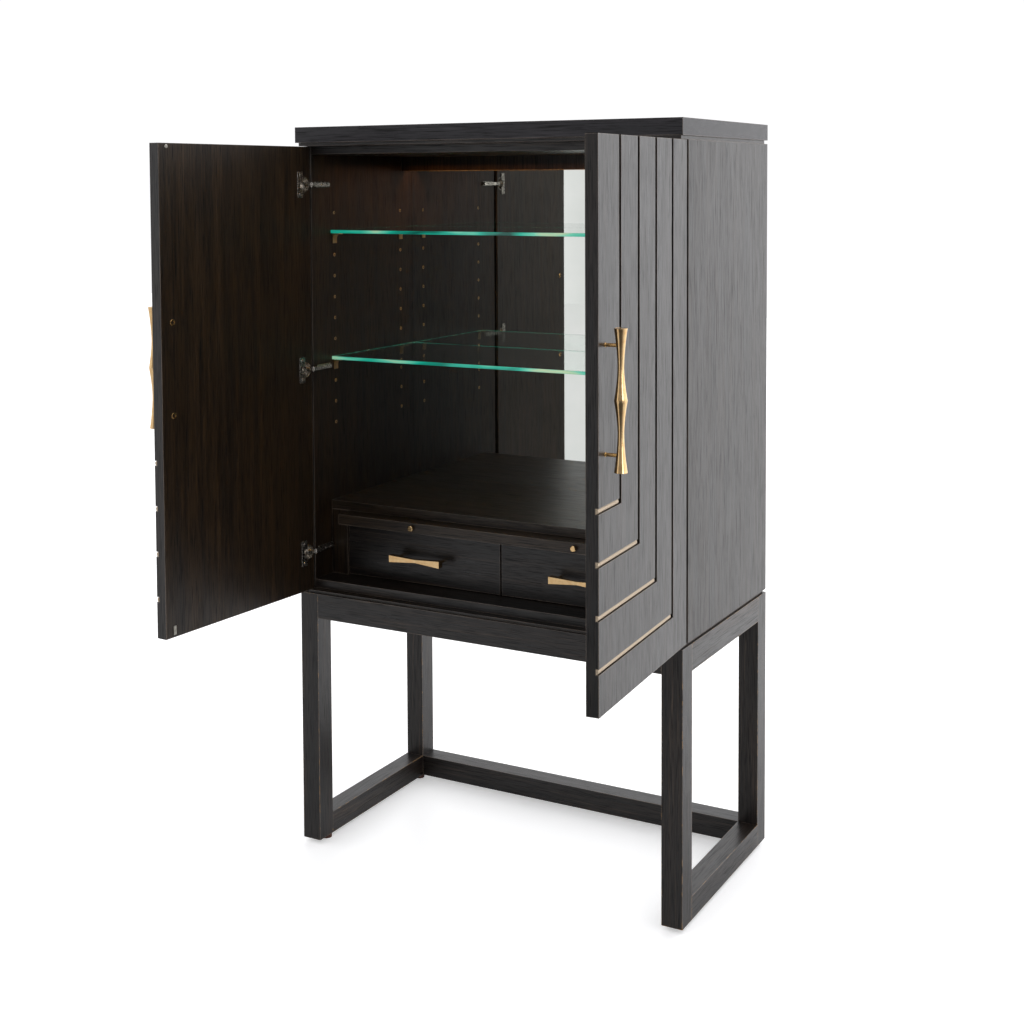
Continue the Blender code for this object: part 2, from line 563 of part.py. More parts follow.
def build_door_pull(door, side, word):
    """A turned bar, thick at its ends and middle, on two posts."""
    axis_into = DOOR_THICK + DOOR_PULL_REACH
    low = DOOR_PULL_LOW
    high = low + DOOR_PULL_LENGTH
    stations = ((DOOR_PULL_RADIUS, low), (DOOR_PULL_NECK_RADIUS, low + DOOR_PULL_NECK_FROM_END),
                (DOOR_PULL_RADIUS, (low + high) / 2), (DOOR_PULL_NECK_RADIUS, high - DOOR_PULL_NECK_FROM_END),
                (DOOR_PULL_RADIUS, high))
    bm = bmesh.new()
    add_turned(bm, [(0.0, low), *stations, (0.0, high)],
               lambda u, v, w: door_point(side, DOOR_PULL_ALONG + u, axis_into + v, w), 32)
    pull = finish(bm, f"door_pull_{word}", "brass", door, smooth=True)
    bm = bmesh.new()
    for z in (low + DOOR_PULL_POST_INSET, high - DOOR_PULL_POST_INSET):
        add_turned(bm, cylinder_profile(DOOR_PULL_POST_RADIUS, DOOR_THICK + GAP, axis_into),
                   lambda u, v, w, z=z: door_point(side, DOOR_PULL_ALONG + u, w, z + v), 16)
    combine(pull, finish(bm, f"tool_door_pull_posts_{word}", None, door), "UNION")


# --------------------------------------------------------------------------- the whole
for old in list(bpy.data.objects):
    bpy.data.objects.remove(old, do_unlink=True)

PIVOTS = {}
cabinet = empty("cabinet_origin", location=(0.0, -ORIGIN_Y, 0.0))
build_stand(cabinet)
build_case(cabinet)
build_lower_unit(cabinet)
build_tray(empty("tray_slide", cabinet, (0.0, -TRAY_OUT, 0.0)))
for side, word in ((-1, "left"), (1, "right")):
    build_drawer(empty(f"drawer_slide_{word}", cabinet), side, word)
    hinge = Vector((side * PIVOT_X, PIVOT_Y, 0.0))
    door = empty(f"door_pivot_{word}", cabinet, hinge, side * REST_ANGLE)
    PIVOTS[door.name] = hinge
    build_door(door, side, word)
    for index, z in enumerate(HINGE_HEIGHTS):
        build_hinge_arm(cabinet, side, word, index, z)
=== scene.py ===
# %% [markdown]
# # A drinks cabinet on an open stand
#
# The cabinet is black-stained ash: a case with two overlay doors stands on a frame of square rails.
# Inside are a mirror, two glass shelves, a counter, a pull-out tray and two drawers.
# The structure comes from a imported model, the frame. This lesson adds what the eye reads as
# quality: eased edges, open grain, satin brass, polished glass, and the light they stand in.
# Everything is in metres, X to the right, Y to the back and Z up.

# %% Load the frame
import math

import bmesh
import bpy
from mathutils import Matrix, Vector
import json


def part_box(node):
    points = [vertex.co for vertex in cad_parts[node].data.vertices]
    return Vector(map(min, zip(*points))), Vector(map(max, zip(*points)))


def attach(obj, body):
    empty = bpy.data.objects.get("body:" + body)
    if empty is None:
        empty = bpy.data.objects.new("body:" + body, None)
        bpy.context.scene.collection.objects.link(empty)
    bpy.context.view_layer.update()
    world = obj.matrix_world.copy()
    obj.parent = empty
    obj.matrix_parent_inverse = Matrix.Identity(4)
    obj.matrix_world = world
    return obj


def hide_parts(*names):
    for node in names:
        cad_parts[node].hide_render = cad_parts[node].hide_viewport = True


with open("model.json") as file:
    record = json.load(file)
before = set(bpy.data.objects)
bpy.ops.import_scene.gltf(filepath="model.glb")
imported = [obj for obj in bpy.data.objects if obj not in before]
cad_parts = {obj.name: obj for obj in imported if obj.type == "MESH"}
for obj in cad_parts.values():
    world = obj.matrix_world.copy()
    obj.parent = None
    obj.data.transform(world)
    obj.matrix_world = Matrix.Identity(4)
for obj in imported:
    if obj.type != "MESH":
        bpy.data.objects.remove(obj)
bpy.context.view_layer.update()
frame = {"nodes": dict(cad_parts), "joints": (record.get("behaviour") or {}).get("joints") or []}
MM = 0.001
SIDES = ((-1, "left"), (1, "right"))

# %% [markdown]
# ## Places
#
# Every piece goes where the frame says. Three boxes give most of what is needed: the top slab
# gives the overall width and depth, a side panel gives the case, and the mirror gives the back.
# The doors are the exception. They stand open at an angle, so each is described on its own:
# a distance along it from the hinge edge, a depth into it from its inner face, and a height.

# %% Main planes of the case
slab_low, slab_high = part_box("cabinet_top")
panel_low, panel_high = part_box("side_panel_right")
HALF = slab_high.x
CASE_FRONT, CASE_BACK = panel_low.y, panel_high.y
PANEL = 22 * MM
INNER = HALF - PANEL
MIRROR_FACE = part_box("mirror")[0].y
print("half width %.4f, case front %.4f, mirror %.4f" % (HALF, CASE_FRONT, MIRROR_FACE))

# %% The open door's own directions
DOOR_THICK = 25.5 * MM
DOOR_MEET = 1 * MM
DOOR_WIDTH = HALF - DOOR_MEET
DOOR_GAP = 2.5 * MM


def door_matrix(side, word):
    """Turns a point of the closed door into its place at rest."""
    joint = next(joint for joint in frame["joints"] if joint["child"] == "door_" + word)
    pivot = Vector(joint["pos_m"])
    opened = math.radians(-joint["range_deg"][0]) * side
    turn = Matrix.Rotation(opened, 4, "Z")
    return Matrix.Translation(pivot) @ turn @ Matrix.Translation(-pivot)


def closed_point(side, along, into, z):
    """A point of the closed door: along from the hinge edge, into it from the inner face."""
    return Vector((side * (HALF - along), CASE_FRONT - DOOR_GAP - into, z))


door_low, door_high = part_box("door_right")
DOOR_BOTTOM, DOOR_TOP = door_low.z, door_high.z
print("door %.0f mm wide and %.0f mm high" % (DOOR_WIDTH / MM, (DOOR_TOP - DOOR_BOTTOM) / MM))

# %% [markdown]
# ## Small tools
#
# A material is a tree of nodes, and most of the work is adding a node, setting it and linking it.
# One function does all three and hands back the output that the next node needs. Another turns an
# sRGB hex colour, as a paint chart gives it, into the linear numbers that a shader expects.


# %% Colours and nodes
def colour(code):
    """Linear RGBA of an sRGB hex colour."""
    parts = [int(code[i:i + 2], 16) / 255 for i in (1, 3, 5)]
    return [p / 12.92 if p <= 0.04045 else ((p + 0.055) / 1.055) ** 2.4 for p in parts] + [1.0]


def add_node(tree, kind, inputs=(), take=None, stops=(), **settings):
    """Adds a node and gives back one of its outputs: the first one in use, or the one take names.

    Inputs are values or the sockets that feed them, by name or in the node's own order.
    Settings are the node's properties, and stops are a colour ramp's (place, hex colour) pairs.
    """
    made = tree.nodes.new(kind)
    for name, value in settings.items():
        setattr(made, name, value)
    for name, value in inputs.items() if isinstance(inputs, dict) else enumerate(inputs):
        if isinstance(value, bpy.types.NodeSocket):
            tree.links.new(value, made.inputs[name])
        else:
            made.inputs[name].default_value = value
    for k, (place, code) in enumerate(stops):
        elements = made.color_ramp.elements
        element = elements[k] if k < len(elements) else elements.new(place)
        element.position, element.color = place, colour(code)
    return made.outputs[take] if take else next(out for out in made.outputs if out.enabled)


def new_material(name, **sockets):
    """An empty Principled material and its tree and shader."""
    material = bpy.data.materials.new(name)
    material.use_nodes = True
    shader = material.node_tree.nodes["Principled BSDF"]
    for socket, value in sockets.items():
        shader.inputs[socket.replace("_", " ")].default_value = value
    return material, material.node_tree, shader


def feed(shader, **sockets):
    """Links sockets to the shader's inputs; an underscore stands for a space."""
    for name, socket in sockets.items():
        shader.id_data.links.new(socket, shader.inputs[name.replace("_", " ")])


# Noise runs from 0 to 1 but is mostly between these.
MOSTLY = (0.3, 0.7)
print("middle grey in linear light: %.3f" % colour("#808080")[0])

# %% [markdown]
# Pieces are meshes built with bmesh. Three shapes cover almost all of them: a box, a flat outline
# pushed to a thickness, and a profile turned round an axis. The last two take a function, place,
# that puts a point of the shape where it belongs, so one profile serves a post, a screw or a cup.


# %% Shapes
def box_into(bm, low, high):
    """Adds a box between two corners, given in any order."""
    low, high = [Vector(pair) for pair in zip(*[sorted(pair) for pair in zip(low, high)])]
    size = Matrix.Diagonal([*(high - low), 1.0])
    bmesh.ops.create_cube(bm, size=1.0, matrix=Matrix.Translation((low + high) / 2) @ size)


def prism_into(bm, outline, place, low, high):
    """Pushes a flat outline from low to high; place turns (u, v, w) into a point."""
    bottom = [bm.verts.new(place(u, v, low)) for u, v in outline]
    top = [bm.verts.new(place(u, v, high)) for u, v in outline]
    bm.faces.new(bottom)
    bm.faces.new(list(reversed(top)))
    for i, corner in enumerate(bottom):
        j = (i + 1) % len(outline)
        bm.faces.new([bottom[j], corner, top[i], top[j]])


def turned_into(bm, profile, place, sides=48):
    """Turns (radius, along) round an axis; a radius of 0 closes an end."""
    rings = []
    for radius, along in profile:
        count = sides if radius else 1
        turns = [2 * math.pi * k / count for k in range(count)]
        rings.append([bm.verts.new(place(radius * math.cos(t), radius * math.sin(t), along)) for t in turns])
    for a, b in zip(rings, rings[1:]):
        for k in range(sides):
            n = (k + 1) % sides
            ring = [a[k % len(a)], a[n % len(a)], b[n % len(b)], b[k % len(b)]]
            bm.faces.new(list(dict.fromkeys(ring)))


def in_mm(pairs):
    """Pairs of millimetres as metres."""
    return [(a * MM, b * MM) for a, b in pairs]


print("shapes: box, outline, turning; a 7 mm post starts as", in_mm([(3.5, 0.0)]))

# %% [markdown]
# A finished mesh becomes a piece that rides on a body, so that it moves when a joint moves.
# A Bevel modifier eases the edges, because no cabinet maker leaves a sharp arris: it is the thin
# light line on every edge.

# %% From mesh to piece
SMOOTH_BELOW = math.radians(32)
EASE_ABOVE = math.radians(30)


def ease_edges(piece, width, segments=3):
    """Rounds the edges of a piece by a small radius."""
    bevel = piece.modifiers.new("eased_edges", "BEVEL")
    bevel.width = width
    bevel.segments = segments
    bevel.limit_method = "ANGLE"
    bevel.angle_limit = EASE_ABOVE
    bevel.harden_normals = True
    piece.data.shade_smooth()


def make(name, bm, material, body, ease=0.0, smooth=False, matrix=None):
    """Turns a bmesh into a piece of the object that rides on a body."""
    if matrix is not None:
        bmesh.ops.transform(bm, matrix=matrix, verts=bm.verts)
    bmesh.ops.recalc_face_normals(bm, faces=bm.faces)
    mesh = bpy.data.meshes.new(name)
    bm.to_mesh(mesh)
    bm.free()
    if smooth:
        mesh.shade_smooth()
        mesh.set_sharp_from_angle(angle=SMOOTH_BELOW)
    mesh.materials.append(material)
    piece = bpy.data.objects.new(name, mesh)
    bpy.context.collection.objects.link(piece)
    if ease:
        ease_edges(piece, ease)
    if body:
        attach(piece, body)
    return piece


# %% [markdown]
# ## Black-stained ash
#
# The case is ash veneer and solid ash, stained nearly black and sprayed with a satin lacquer.
# Ash has open pores, which take more stain and lie a little below the lacquer as fine dark lines
# along the grain. Between them the stain lets a warm brown through. So the colour is a slow
# drift between black and brown, cut by fine lines that also roughen and dent the surface.
# Each pattern is noise drawn out along the grain, to the width and length of the real mark.

# %% Marks of the grain
GRAIN_X, GRAIN_Y, GRAIN_Z = 0, 1, 2
# Pores are about 0.3 mm apart on the real wood, too fine to show, so they are drawn coarser.
PORE_SPACING, PORE_LENGTH = 1.2 * MM, 60 * MM
STREAK_WIDTH, STREAK_LENGTH = 4 * MM, 180 * MM
FIGURE_WIDTH, FIGURE_LENGTH = 28 * MM, 600 * MM


def drawn_out(tree, axis, across, along, detail, **more):
    """Noise drawn out along an axis, with marks as wide and as long as given."""
    scale = [1 / across] * 3
    scale[axis] = 1 / along
    point = add_node(tree, "ShaderNodeTexCoord", take="Object")
    stretched = add_node(tree, "ShaderNodeMapping", {"Vector": point, "Scale": scale})
    return add_node(tree, "ShaderNodeTexNoise", {"Vector": stretched, "Scale": 1.0, "Detail": detail, **more})


print("ash: pores %.1f mm apart, figure %.0f mm wide" % (PORE_SPACING / MM, FIGURE_WIDTH / MM))

# %% [markdown]
# The edges of a board tell how it has lived. Along an arris a paler grey is painted, partly lacquer worn thin
# and partly a painted highlight, and on legs and rails knocks have taken the stain off and show the bare
# wood.
# The Bevel node finds the arris: on a flat its normal is the face's own, and near an edge it leans.

# %% Wear along the arrises
ARRIS_REACH = 3 * MM
# Cosines between the leaning normal and the flat one: where the pale arris and the knocks start, and where
# they are full.
ARRIS_SPAN = (0.995, 0.90)
KNOCK_SIZE = 18 * MM
KNOCK_LIMIT, KNOCK_FADE = 0.72, 0.03
BARE_ASH = "#9a7850"


def arris(tree):
    """1 on the outer edges of a board, 0 on its flats."""
    rounded = add_node(tree, "ShaderNodeBevel", {"Radius": ARRIS_REACH}, samples=4)
    flat = add_node(tree, "ShaderNodeNewGeometry", take="True Normal")
    facing = add_node(tree, "ShaderNodeVectorMath", [rounded, flat], operation="DOT_PRODUCT")
    return add_node(tree, "ShaderNodeMapRange", [facing, *ARRIS_SPAN, 0.0, 1.0])


def add_chips(tree, base, edge, amount):
    """Knocks along the arrises that take the stain off and show the bare ash."""
    point = add_node(tree, "ShaderNodeTexCoord", take="Object")
    knocks = add_node(tree, "ShaderNodeTexNoise", {"Vector": point, "Scale": 1 / KNOCK_SIZE,
                                                   "Detail": 5.0, "Roughness": 0.7})
    limit = KNOCK_LIMIT - amount
    chips = add_node(tree, "ShaderNodeMapRange", [knocks, limit, limit + KNOCK_FADE, 0.0, 1.0])
    mask = add_node(tree, "ShaderNodeMath", [edge, chips], operation="MULTIPLY")
    return add_node(tree, "ShaderNodeMix", {"Factor": mask, "A": base, "B": colour(BARE_ASH)},
                    data_type="RGBA")


print("arrises: wear reaches %.0f mm in from an edge" % (ARRIS_REACH / MM))

# %% [markdown]
# The finish itself could be an image of real veneer, but an image has one size and one seam.
# Three noises do the same at any size: a broad figure and narrow streaks make the colour, and the
# pores cut it. Each board gets its own axis, because grain runs along the length of a board.

# %% Stained ash, with the grain along one axis
# The pale arris tone is partly worn lacquer and partly a painted highlight.
IN_THE_PORES, ARRIS_WEAR_AND_HIGHLIGHT = "#080707", "#84776b"
SATIN, SATIN_DRIFT, PORE_ROUGHER = 0.33, 0.34, 0.12
FIELD_GLINT, PORE_GLINT = 0.52, 0.30
PORE_DEPTH = 0.10 * MM
# The parts of each noise that carry the tones, the open pores and the pale arris of worn lacquer and painted
# highlight.
TONE_SPAN, PORE_SPAN, PALE_ARRIS_SPAN = (0.75, 1.35), (0.52, 0.64), (0.35, 0.6)


def stained_ash(name, axis, dark="#080708", warm="#1e1713", pale="#42352a", rough=SATIN, worn=0.0, ior=1.5):
    """Ash stained black under satin lacquer; worn is how much bare wood shows on its arrises.

    It gives the eye a soft black with brown in it, and a sheen that breaks up along the grain.
    """
    material, tree, shader = new_material(name, IOR=ior)
    figure = drawn_out(tree, axis, FIGURE_WIDTH, FIGURE_LENGTH, 4.0, Roughness=0.6, Distortion=0.3)
    streaks = drawn_out(tree, axis, STREAK_WIDTH, STREAK_LENGTH, 3.0, Roughness=0.6, Distortion=0.3)
    pores = drawn_out(tree, axis, PORE_SPACING, PORE_LENGTH, 2.0, Roughness=0.55, Distortion=0.3)
    # The colour: two patterns added, spread over the stain's three tones, with the pores black.
    drift = add_node(tree, "ShaderNodeMath", [figure, streaks], operation="ADD")
    tone = add_node(tree, "ShaderNodeMapRange", [drift, *TONE_SPAN, 0.0, 1.0])
    stain = add_node(tree, "ShaderNodeValToRGB", [tone], stops=((0.0, dark), (0.6, warm), (1.0, pale)))
    open_pore = add_node(tree, "ShaderNodeMapRange", [pores, *PORE_SPAN, 0.0, 1.0])
    lined = add_node(tree, "ShaderNodeMix", {"Factor": open_pore, "A": stain, "B": colour(IN_THE_PORES)},
                     data_type="RGBA")
    # The edges: a pale grey in some streaks, worn lacquer and painted highlight, and bare wood where knocked.
    edge = arris(tree)
    pale_share = add_node(tree, "ShaderNodeMapRange", [streaks, *PALE_ARRIS_SPAN, 0.15, 0.75])
    wear_and_highlight = add_node(tree, "ShaderNodeMath", [edge, pale_share], operation="MULTIPLY")
    base = add_node(tree, "ShaderNodeMix", {"Factor": wear_and_highlight, "A": lined, "B": colour(ARRIS_WEAR_AND_HIGHLIGHT)},
                    data_type="RGBA")
    if worn:
        base = add_chips(tree, base, edge, worn)
    # The lacquer: its sheen drifts with the streaks, and the pores are rougher, duller and sunk.
    sheen = add_node(tree, "ShaderNodeMath", [streaks, SATIN_DRIFT, rough - SATIN_DRIFT / 2],
                     operation="MULTIPLY_ADD")
    gloss = add_node(tree, "ShaderNodeMath", [open_pore, PORE_ROUGHER, sheen], operation="MULTIPLY_ADD")
    glint = add_node(tree, "ShaderNodeMapRange", [open_pore, 0.0, 1.0, FIELD_GLINT, PORE_GLINT])
    bump = add_node(tree, "ShaderNodeBump", {"Height": open_pore, "Distance": PORE_DEPTH, "Strength": 0.5},
                    invert=True)
    feed(shader, Base_Color=base, Roughness=gloss, Specular_IOR_Level=glint, Normal=bump)
    return material


ash_upright = stained_ash("stained_ash_upright", GRAIN_Z, pale="#2c241e")
ash_level = stained_ash("stained_ash_level", GRAIN_X)
ash_deep = stained_ash("stained_ash_deep", GRAIN_Y)
ash_inside = stained_ash("stained_ash_inside", GRAIN_Z, "#160f09", "#2a1d0e", "#382817", 0.38, ior=1.42)
ash_counter = stained_ash("stained_ash_counter", GRAIN_X, "#17110b", "#33271a", rough=0.36, ior=1.46)
ash_top = stained_ash("stained_ash_top", GRAIN_X, "#131217", "#201d22", "#3a363a", 0.36, ior=1.44)
ash_panel = stained_ash("stained_ash_panel", GRAIN_Z, "#0d0b0a", "#231b16", "#2f261f", 0.36)
ash_leg = stained_ash("stained_ash_leg", GRAIN_Z, worn=0.19, ior=1.47)
ash_rail = stained_ash("stained_ash_rail", GRAIN_Y, worn=0.19)
print("stained ash:", sum(m.name.startswith("stained_ash") for m in bpy.data.materials), "kinds")

# %% [markdown]
# ## Brass, nickel and gilt
#
# The pulls are turned from brass, brushed with a fine abrasive and lacquered, so they stay pale
# gold and their highlights stretch into soft streaks. The hinges are pressed steel with bright
# nickel plate. The strips laid in the door grooves are gilt paint over wood: matt, paler and
# a little grainy. Brushing could be carved as real scratches, far too many of them. Noise that is
# drawn out along the stroke roughens and dents the surface in the same direction instead.

# %% Metals
# Brush marks are well under a millimetre apart, and are drawn coarser here so that they show.
BRUSH_SPACING, BRUSH_LENGTH = 1.5 * MM, 40 * MM
BRUSH_DEPTH = 0.06 * MM
BLOTCH, SCUFF, GILT_GRAIN = 9 * MM, 3 * MM, 1.5 * MM


def satin_brass(name, axis, code="#e2c493", rough=0.13):
    """Lacquered brass brushed along an axis: soft streaks of light, with pale and deep gold patches."""
    material, tree, shader = new_material(name, Metallic=1.0)
    point = add_node(tree, "ShaderNodeTexCoord", take="Object")
    marks = drawn_out(tree, axis, BRUSH_SPACING, BRUSH_LENGTH, 3.0)
    blotch = add_node(tree, "ShaderNodeTexNoise", {"Vector": point, "Scale": 1 / BLOTCH, "Detail": 2.0})
    tint = add_node(tree, "ShaderNodeValToRGB", [blotch], stops=((0.2, "#cfa774"), (0.8, code)))
    gloss = add_node(tree, "ShaderNodeMapRange", [marks, *MOSTLY, rough - 0.05, rough + 0.07])
    bump = add_node(tree, "ShaderNodeBump", {"Height": marks, "Distance": BRUSH_DEPTH, "Strength": 0.4})
    feed(shader, Base_Color=tint, Roughness=gloss, Normal=bump)
    return material


def plated_steel(name, code, rough):
    """Pressed steel under bright nickel: cold and sharp, faintly scuffed where it is handled."""
    material, tree, shader = new_material(name, Metallic=1.0)
    point = add_node(tree, "ShaderNodeTexCoord", take="Object")
    scuff = add_node(tree, "ShaderNodeTexNoise", {"Vector": point, "Scale": 1 / SCUFF, "Detail": 4.0})
    tint = add_node(tree, "ShaderNodeValToRGB", [scuff], stops=((0.35, "#8f8a84"), (0.65, code)))
    gloss = add_node(tree, "ShaderNodeMapRange", [scuff, *MOSTLY, rough, rough + 0.12])
    feed(shader, Base_Color=tint, Roughness=gloss)
    return material


def gilt_paint(name):
    """Champagne gilt brushed over wood: matt and pale, half metal, half paint, with a fine grain."""
    material, tree, shader = new_material(name, Metallic=0.35)
    point = add_node(tree, "ShaderNodeTexCoord", take="Object")
    grain = add_node(tree, "ShaderNodeTexNoise", {"Vector": point, "Scale": 1 / GILT_GRAIN, "Detail": 3.0})
    tint = add_node(tree, "ShaderNodeValToRGB", [grain], stops=((0.3, "#a08c74"), (0.7, "#c9b89f")))
    gloss = add_node(tree, "ShaderNodeMapRange", [grain, *MOSTLY, 0.42, 0.58])
    feed(shader, Base_Color=tint, Roughness=gloss)
    return material


brass_turned = satin_brass("satin_brass_turned", GRAIN_Z)
brass_filed = satin_brass("satin_brass_filed", GRAIN_X, rough=0.17)
brass_cast = satin_brass("satin_brass_cast", GRAIN_Y, "#d3a766", rough=0.24)
sleeve_brass = satin_brass("sleeve_brass", GRAIN_Y, "#f0d09a", rough=0.36)
nickel = plated_steel("nickel_plated_steel", "#cfc9bf", 0.20)
gilt = gilt_paint("champagne_gilt")
print("metals:", ", ".join(m.name for m in (brass_turned, brass_filed, brass_cast, nickel, gilt)))

# %% [markdown]
# ## Glass and mirror
#
# The shelves are clear float glass with polished edges. Iron in the glass tints it green, which
# hardly shows through 8 mm but glows at an edge, where light has run the length of the sheet.
# Light absorbed inside the glass would do this too, but needs very long light paths.
# So the edge faces get a material of their own, in which that green light is painted in as a glow.
# The mirror is silvered behind glass: a smooth metal, a little green and a little dark.

# %% Glass and mirror
FLOAT_GLASS_IOR = 1.52
SMEAR, HAZE = 60 * MM, 90 * MM
LENGTHS_ACROSS, LENGTHS_ALONG = 30 * MM, 160 * MM
# Strength of the glow painted on the glass edges, which are no lamp.
EDGE_GLOW = 0.42


def clear_glass(name):
    """Float glass seen through its faces: all but invisible, with a wiped smear here and there."""
    material, tree, shader = new_material(name, IOR=FLOAT_GLASS_IOR, Transmission_Weight=1.0)
    point = add_node(tree, "ShaderNodeTexCoord", take="Object")
    smear = add_node(tree, "ShaderNodeTexNoise", {"Vector": point, "Scale": 1 / SMEAR, "Detail": 3.0})
    tint = add_node(tree, "ShaderNodeValToRGB", [smear], stops=((0.3, "#e9f7f1"), (0.7, "#f4fbf8")))
    gloss = add_node(tree, "ShaderNodeMapRange", [smear, 0.45, 0.7, 0.0, 0.03])
    feed(shader, Base_Color=tint, Roughness=gloss)
    return material


def glowing_edge(name):
    """The polished edge of the sheet: a painted sea-green glow, with paler lengths of painted highlight from
    the lamp.
    """
    material, tree, shader = new_material(name, IOR=FLOAT_GLASS_IOR, Roughness=0.12,
                                          Emission_Strength=EDGE_GLOW)
    lengths = drawn_out(tree, GRAIN_X, LENGTHS_ACROSS, LENGTHS_ALONG, 2.0)
    tint = add_node(tree, "ShaderNodeValToRGB", [lengths], stops=(
        (0.34, "#0c5247"), (0.50, "#1fb79b"), (0.62, "#6fd3b4"), (0.74, "#dfe0b0")))
    feed(shader, Base_Color=tint, Emission_Color=tint)
    return material


def silvered_glass(name):
    """A mirror: it doubles the shelves, a shade darker and greener than they are, through a faint haze."""
    material, tree, shader = new_material(name, Metallic=1.0)
    point = add_node(tree, "ShaderNodeTexCoord", take="Object")
    haze = add_node(tree, "ShaderNodeTexNoise", {"Vector": point, "Scale": 1 / HAZE, "Detail": 4.0})
    tint = add_node(tree, "ShaderNodeValToRGB", [haze], stops=((0.3, "#e4e8e2"), (0.7, "#eceee9")))
    gloss = add_node(tree, "ShaderNodeMapRange", [haze, *MOSTLY, 0.005, 0.02])
    feed(shader, Base_Color=tint, Roughness=gloss)
    return material


shelf_glass = clear_glass("float_glass")
shelf_edge_glow = glowing_edge("float_glass_edge_painted_glow")
mirror_silver = silvered_glass("silvered_glass")
print("glass:", ", ".join(m.name for m in (shelf_glass, shelf_edge_glow, mirror_silver)))

# %% [markdown]
# ## Plastic, drawer wood and the light strip
#
# The glides are moulded nylon and the bumpers clear rubber: both slightly cloudy, as a mould leaves
# them. The drawer boxes are a plain lacquered hardwood, paler than the case. Under the top hides
# a warm light strip, a row of diodes behind an opal cover.

# %% Plastic, drawer wood and diffuser
MOULD_CLOUD = 4 * MM
MOULD_DEPTH = 0.05 * MM
TIMBER_WIDTH, TIMBER_LENGTH = 3 * MM, 200 * MM
DIODE_SPACING = 31.667 * MM
# At scale 1 a wave texture has a band every so many metres.
WAVE_BAND = 2 * math.pi / 20


def moulded(name, low, high, rough):
    """Moulded plastic or rubber: soft, even light with the faint cloudiness of its mould."""
    material, tree, shader = new_material(name, IOR=1.46)
    point = add_node(tree, "ShaderNodeTexCoord", take="Object")
    cloud = add_node(tree, "ShaderNodeTexNoise", {"Vector": point, "Scale": 1 / MOULD_CLOUD, "Detail": 3.0})
    tint = add_node(tree, "ShaderNodeValToRGB", [cloud], stops=((0.35, low), (0.65, high)))
    gloss = add_node(tree, "ShaderNodeMapRange", [cloud, *MOSTLY, rough - 0.05, rough + 0.08])
    bump = add_node(tree, "ShaderNodeBump", {"Height": cloud, "Distance": MOULD_DEPTH, "Strength": 0.2})
    feed(shader, Base_Color=tint, Roughness=gloss, Normal=bump)
    return material


def drawer_timber(name):
    """Lacquered hardwood of the drawer boxes: plain, pale brown, straight in the grain."""
    material, tree, shader = new_material(name, IOR=1.5)
    grain = drawn_out(tree, GRAIN_Y, TIMBER_WIDTH, TIMBER_LENGTH, 4.0)
    tint = add_node(tree, "ShaderNodeValToRGB", [grain], stops=((0.3, "#6f5237"), (0.7, "#9a7852")))
    gloss = add_node(tree, "ShaderNodeMapRange", [grain, *MOSTLY, 0.42, 0.55])
    feed(shader, Base_Color=tint, Roughness=gloss)
    return material


def warm_diffuser(name):
    """The opal cover of the light strip, lit from behind: an even amber glow that swells at each diode."""
    material, tree, shader = new_material(name, IOR=1.49, Roughness=0.4, Base_Color=colour("#e8e0cc"),
                                          Emission_Strength=3.0)
    point = add_node(tree, "ShaderNodeTexCoord", take="Object")
    dots = add_node(tree, "ShaderNodeTexWave", {"Vector": point, "Scale": WAVE_BAND / DIODE_SPACING},
                    take="Fac", bands_direction="X")
    glow = add_node(tree, "ShaderNodeValToRGB", [dots], stops=((0.0, "#ffb45e"), (1.0, "#ffd08a")))
    feed(shader, Emission_Color=glow)
    return material


glide_nylon = moulded("nylon_glide", "#3a1d14", "#5a3122", 0.5)
clear_rubber = moulded("clear_rubber", "#8d8a80", "#b3b0a6", 0.3)
# The pin holes are dark discs of painted shade, standing in for the shadow inside a drilled hole.
hole_shade = moulded("painted_hole_shade", "#080605", "#100c09", 0.8)
drawer_wood = drawer_timber("lacquered_hardwood")
diffuser = warm_diffuser("opal_diffuser")
print("materials so far:", len(bpy.data.materials))

# %% [markdown]
# ## The boards
#
# Most boards are right as they come: plain rectangles. Each gets its material, with the grain
# along its length as a maker would cut it, and eased edges. The bevel is a modifier, so the
# board itself stays as it is.

# %% Dress the plain boards
CASE_EASE, LEG_EASE, RAIL_EASE, REAR_EASE = 1.3 * MM, 2.0 * MM, 1.5 * MM, 1.2 * MM
INSIDE_EASE, GUIDE_EASE, STRIP_EASE = 0.6 * MM, 0.5 * MM, 1.0 * MM
INSIDE = ["stile_left", "stile_right", "back_panel", "light_valance", "drawer_divider"]
LEVEL = ["top_board", "bottom_board", "upper_reveal", "lower_reveal", "dust_panel",
         "drawer_front_left", "drawer_front_right", "top_rail_front", "top_rail_rear"]
LEGS = [f"leg_{end}_{word}" for end in ("front", "rear") for side, word in SIDES]
SIDE_RAILS = [f"{level}_rail_{word}" for level in ("top", "base") for side, word in SIDES]
DRESS = [(["cabinet_top"], ash_top, CASE_EASE),
         (["counter", "tray"], ash_counter, CASE_EASE),
         (INSIDE, ash_inside, INSIDE_EASE),
         (LEVEL, ash_level, CASE_EASE),
         (["drawer_guide_left", "drawer_guide_right"], ash_deep, GUIDE_EASE),
         (LEGS, ash_leg, LEG_EASE),
         (SIDE_RAILS, ash_rail, RAIL_EASE),
         (["base_rail_rear"], ash_level, REAR_EASE),
         (["mirror"], mirror_silver, 0.0),
         (["light_bar"], diffuser, STRIP_EASE)]


def wear(node, material, ease=0.0):
    """Gives a node of the frame its finish and eased edges."""
    piece = frame["nodes"][node]
    piece.data.materials.clear()
    piece.data.materials.append(material)
    if ease:
        ease_edges(piece, ease)


for nodes, material, ease in DRESS:
    for node in nodes:
        wear(node, material, ease)
print("dressed", sum(len(nodes) for nodes, material, ease in DRESS), "boards")

